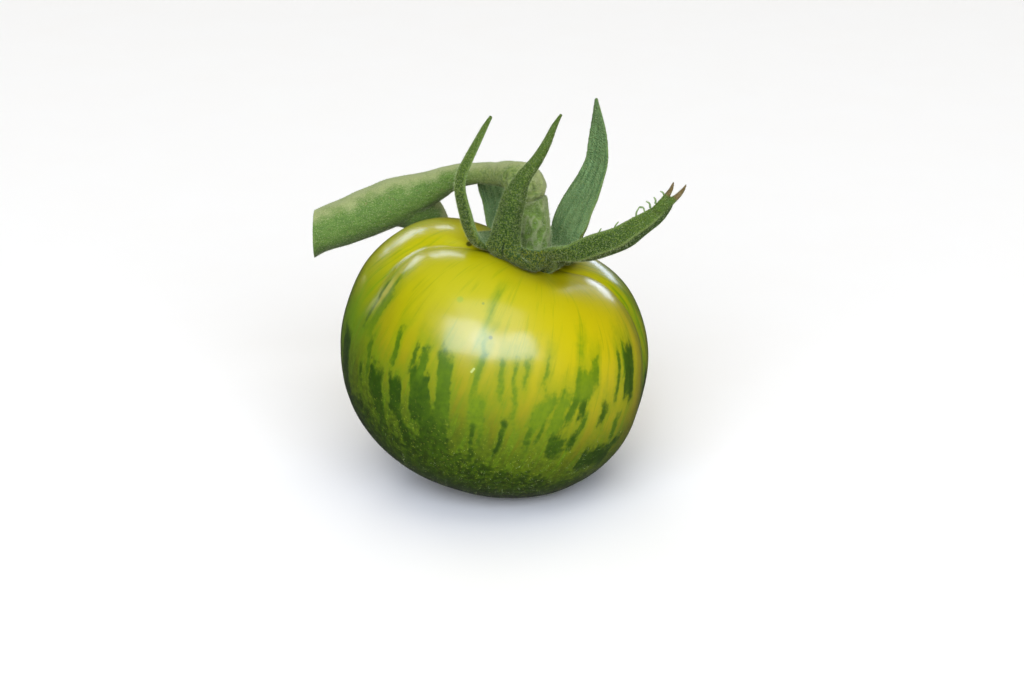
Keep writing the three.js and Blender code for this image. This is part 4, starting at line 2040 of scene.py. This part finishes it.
@dataclass
class Pedicel:
    """The lower length of the pedicel, from the receptacle up to the joint.

    Attributes:
        shape: The fruit's form, whose dimple it stands in.
        finish: Of the pedicel.
        foot_radius: Of its foot.
        foot_rise: Its foot's height over the dimple's floor.
        stations: Places and radii above the foot.
        steps: Rings along it.
        sides: Points on each of them.
        crinkle_height: How far its folds stand out.
    """

    shape: FruitShape
    finish: StemFinish = StemFinish(
        "pedicel_green",
        body=paint(112, 140, 52),
        upper=paint(136, 148, 86),
        shade_below=paint(78, 102, 34),
        grain=paint(84, 106, 38),
        arch=paint(120, 142, 66),
    )
    foot_radius: float = 3.1
    foot_rise: float = 1.2
    stations: tuple[Station, ...] = (
        (3.5, 0.0, 50.4, 2.95),
        (3.3, 0.0, 52.8, 2.9),
        (3.2, 0.3, 55.0, 2.75),
        (3.1, 0.5, 56.3, 2.72),
        (3.0, 0.5, 57.2, 2.7),
    )
    steps: int = 60
    sides: int = 56
    crinkle_height: float = 0.26

    def build(self) -> bpy.types.Object:
        """Makes the pedicel's piece.

        Returns:
            The piece, which stands for the frame's lower pedicel.
        """
        foot = self.shape.above_dimple(0.0, 0.0, self.foot_rise)
        stations = np.array([[*foot, self.foot_radius], *self.stations])
        along = np.linspace(0, 1, self.steps)
        rings, angle = round_rings(stations, along, self.sides)
        flat = rings.reshape(-1, 3)
        middle = rings.mean(1, keepdims=True)
        outward = unit((rings - middle).reshape(-1, 3))
        folds = wrinkles(flat, (0.8, 0.8, 0.3), 4.0)
        relief = self.crinkle_height * folds
        rings = (flat + outward * relief[:, None]).reshape(rings.shape)
        spread = np.ones_like(angle)
        # Painted highlight on both flanks and on the folds' crests; painted shade in their hollows.
        marks = {
            "up": np.abs(np.sin(angle)) * 0.9,
            "along": along[:, None] * spread,
            "pith": 0 * spread,
            "ridge": folds.reshape(angle.shape),
        }
        piece = tube(rings, marks).piece("pedicel_foot_length")
        piece.data.materials.append(self.finish.material())
        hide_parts("pedicel_lower")
        return piece


# ---- Studio ------------------------------------------------------------------------------------


# Tints of the lights, as shares of red, green and blue.
DAYLIGHT = (0.68, 0.76, 1.0)
WARM_WHITE = (1.0, 0.96, 0.84)
TAN = (1.0, 0.84, 0.64)


@dataclass(frozen=True)
class Panel:
    """A soft rectangular light, set by where it stands as seen from the fruit.

    Attributes:
        name: The light's name.
        azimuth: From the front towards the right.
        elevation: Above the floor.
        width: Its level size, as the angle that it fills.
        height: Its other size, as an angle.
        radiance: How bright its surface is, where 1 is a white sheet in full light.
        mirrored: Whether glossy surfaces mirror it.
        colour: Of its light.
        distance: From the fruit's middle.
    """

    name: str
    azimuth: float
    elevation: float
    width: float
    height: float
    radiance: float
    mirrored: bool = True
    colour: tuple[float, float, float] = DAYLIGHT
    distance: float = 3000.0

    def build(self, target: Array) -> None:
        """Hangs the light.

        Args:
            target: What it faces, in millimetres.
        """
        turn, lift = math.radians(self.azimuth), math.radians(self.elevation)
        level = math.cos(lift)
        away = np.array([math.sin(turn) * level, -math.cos(turn) * level, math.sin(lift)])
        light = bpy.data.lights.new(self.name, "AREA")
        light.shape = "RECTANGLE"
        light.size = 2 * self.distance * METRES * math.tan(math.radians(self.width / 2))
        light.size_y = 2 * self.distance * METRES * math.tan(math.radians(self.height / 2))
        light.energy = self.radiance * math.pi * light.size * light.size_y
        light.color = self.colour
        lamp = bpy.data.objects.new(self.name, light)
        lamp.location = (target + away * self.distance) * METRES
        lamp.rotation_euler = Vector(away).to_track_quat("Z", "Y").to_euler()
        lamp.visible_camera = False
        lamp.visible_glossy = self.mirrored
        bpy.context.scene.collection.objects.link(lamp)


@dataclass(frozen=True)
class PaperFinish:
    """The floor's matt paper, faintly clouded from one colour to the other."""

    colour: Colour = paint(250, 244, 229)
    fibre: Colour = paint(251, 246, 232)

    def material(self) -> bpy.types.Material:
        """Builds the floor's material.

        Returns:
            The material.
        """
        graph = Graph("floor_paper")
        shade = graph.mix(graph.noise(graph.place(), 0.05, 2.0), self.colour, self.fibre)
        return graph.surface({"Base Color": shade, "Roughness": 0.9})


@dataclass
class Studio:
    """A plain pale floor, soft lights and the camera.

    Attributes:
        floor_half: Half the floor's side.
        floor_cells: Faces along the floor's side.
        paper: The floor's finish.
        sky: How bright the even light from all sides is.
        target_offset: What the camera looks at, from the middle of the fruit's box.
        distance: From there to the camera.
        elevation: Of the camera.
        lens: The camera's focal length, on a 36 mm sensor.
        panels: The soft lights.
    """

    floor_half: float = 6000.0
    floor_cells: int = 8
    paper: PaperFinish = PaperFinish()
    sky: float = 0.04
    target_offset: tuple[float, float, float] = (3.3, 1.2, 1.7)
    distance: float = 450.0
    elevation: float = 22.0
    lens: float = 82.0
    panels: tuple[Panel, ...] = (
        Panel("key_left", -23.0, 35.0, 31.0, 34.0, 6.2),
        Panel("key_right", 14.0, 32.0, 41.0, 26.0, 6.9),
        Panel("halo", 8.0, 64.0, 44.0, 24.0, 1.6),
        Panel("ridge_left", -150.0, 24.0, 14.0, 11.0, 4.5),
        Panel("ridge_right", -170.0, 34.0, 16.0, 9.0, 5.0),
        Panel("low_left", -150.0, 6.0, 30.0, 6.0, 1.3, colour=TAN),
        Panel("low_right", 158.0, 12.0, 18.0, 10.0, 5.0),
        Panel("ceiling", 0.0, 89.0, 66.0, 66.0, 1.2, mirrored=False, colour=WARM_WHITE),
        Panel("front_fill", 0.0, 18.0, 80.0, 34.0, 0.35, mirrored=False, colour=WARM_WHITE),
    )

    def build(self) -> None:
        """Sets the stage."""
        low, high = (np.array(corner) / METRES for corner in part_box("fruit"))
        centre = (low + high) / 2
        self._floor()
        self._sky()
        for panel in self.panels:
            panel.build(centre)
        self._camera(centre + np.array(self.target_offset))
        bpy.context.scene.view_settings.view_transform = "Standard"

    def _floor(self) -> None:
        """Lays the floor, which glossy skin doesn't mirror."""
        cells = self.floor_cells
        half = self.floor_half * METRES
        work = bmesh.new()
        bmesh.ops.create_grid(work, x_segments=cells, y_segments=cells, size=half)
        mesh = bpy.data.meshes.new("floor")
        work.to_mesh(mesh)
        work.free()
        floor = add_object("floor", mesh)
        mesh.materials.append(self.paper.material())
        floor.visible_glossy = False

    def _sky(self) -> None:
        """Fills the shadows with even pale light."""
        world = bpy.data.worlds.new("studio_air")
        world.use_nodes = True
        background = world.node_tree.nodes["Background"]
        background.inputs["Color"].default_value = (1.0, 1.0, 1.0, 1.0)
        background.inputs["Strength"].default_value = self.sky
        bpy.context.scene.world = world

    def _camera(self, target: Array) -> None:
        """Looks down on the object from the front.

        Args:
            target: What it looks at, in millimetres.
        """
        lift = math.radians(self.elevation)
        away = np.array([0.0, -math.cos(lift), math.sin(lift)]) * self.distance
        view = bpy.data.cameras.new("camera")
        view.lens = self.lens
        view.clip_start = 0.01
        camera = bpy.data.objects.new("camera", view)
        camera.location = (target + away) * METRES
        camera.rotation_euler = (math.pi / 2 - lift, 0.0, 0.0)
        bpy.context.scene.collection.objects.link(camera)
        bpy.context.scene.camera = camera


# ---- The whole tomato --------------------------------------------------------------------------


def main() -> None:
    """Builds the tomato and its stage."""
    shape = FruitShape()
    fruit = Fruit(shape).build()
    calyx = Calyx(shape).build()
    curls = CurlyHairs().build()
    truss = TrussStem().build()
    pedicel = Pedicel(shape).build()

    calyx_coat = Coat("calyx_down", "calyx_green", per_square=16.0, length=0.3, seed=3)
    truss_coat = Coat("truss_down", "stem_green", per_square=9.0, length=0.26, seed=4)
    pedicel_coat = Coat(
        "pedicel_down", "pedicel_green", per_square=16.0, length=0.45, seed=5, thickness=0.03
    )
    fruit_coat = Coat(
        "fruit_down",
        "fruit_skin",
        per_square=0.8,
        length=0.45,
        seed=6,
        spread=0.5,
        thickness=0.03,
        tousle=1.6,
        where=low_skin,
    )
    hair = HairFinish()
    pieces = [
        fruit,
        calyx,
        curls,
        truss,
        pedicel,
        calyx_coat.build(calyx, hair),
        truss_coat.build(truss, hair),
        pedicel_coat.build(pedicel, hair),
        fruit_coat.build(fruit, hair),
    ]
    for piece in pieces:
        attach(piece, ONLY_BODY)
        log.info("%s: %d faces", piece.name, len(piece.data.polygons))
    Studio().build()

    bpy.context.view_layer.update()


if __name__ == "__main__":
    logging.basicConfig(level=logging.INFO, format="%(message)s")
    main()
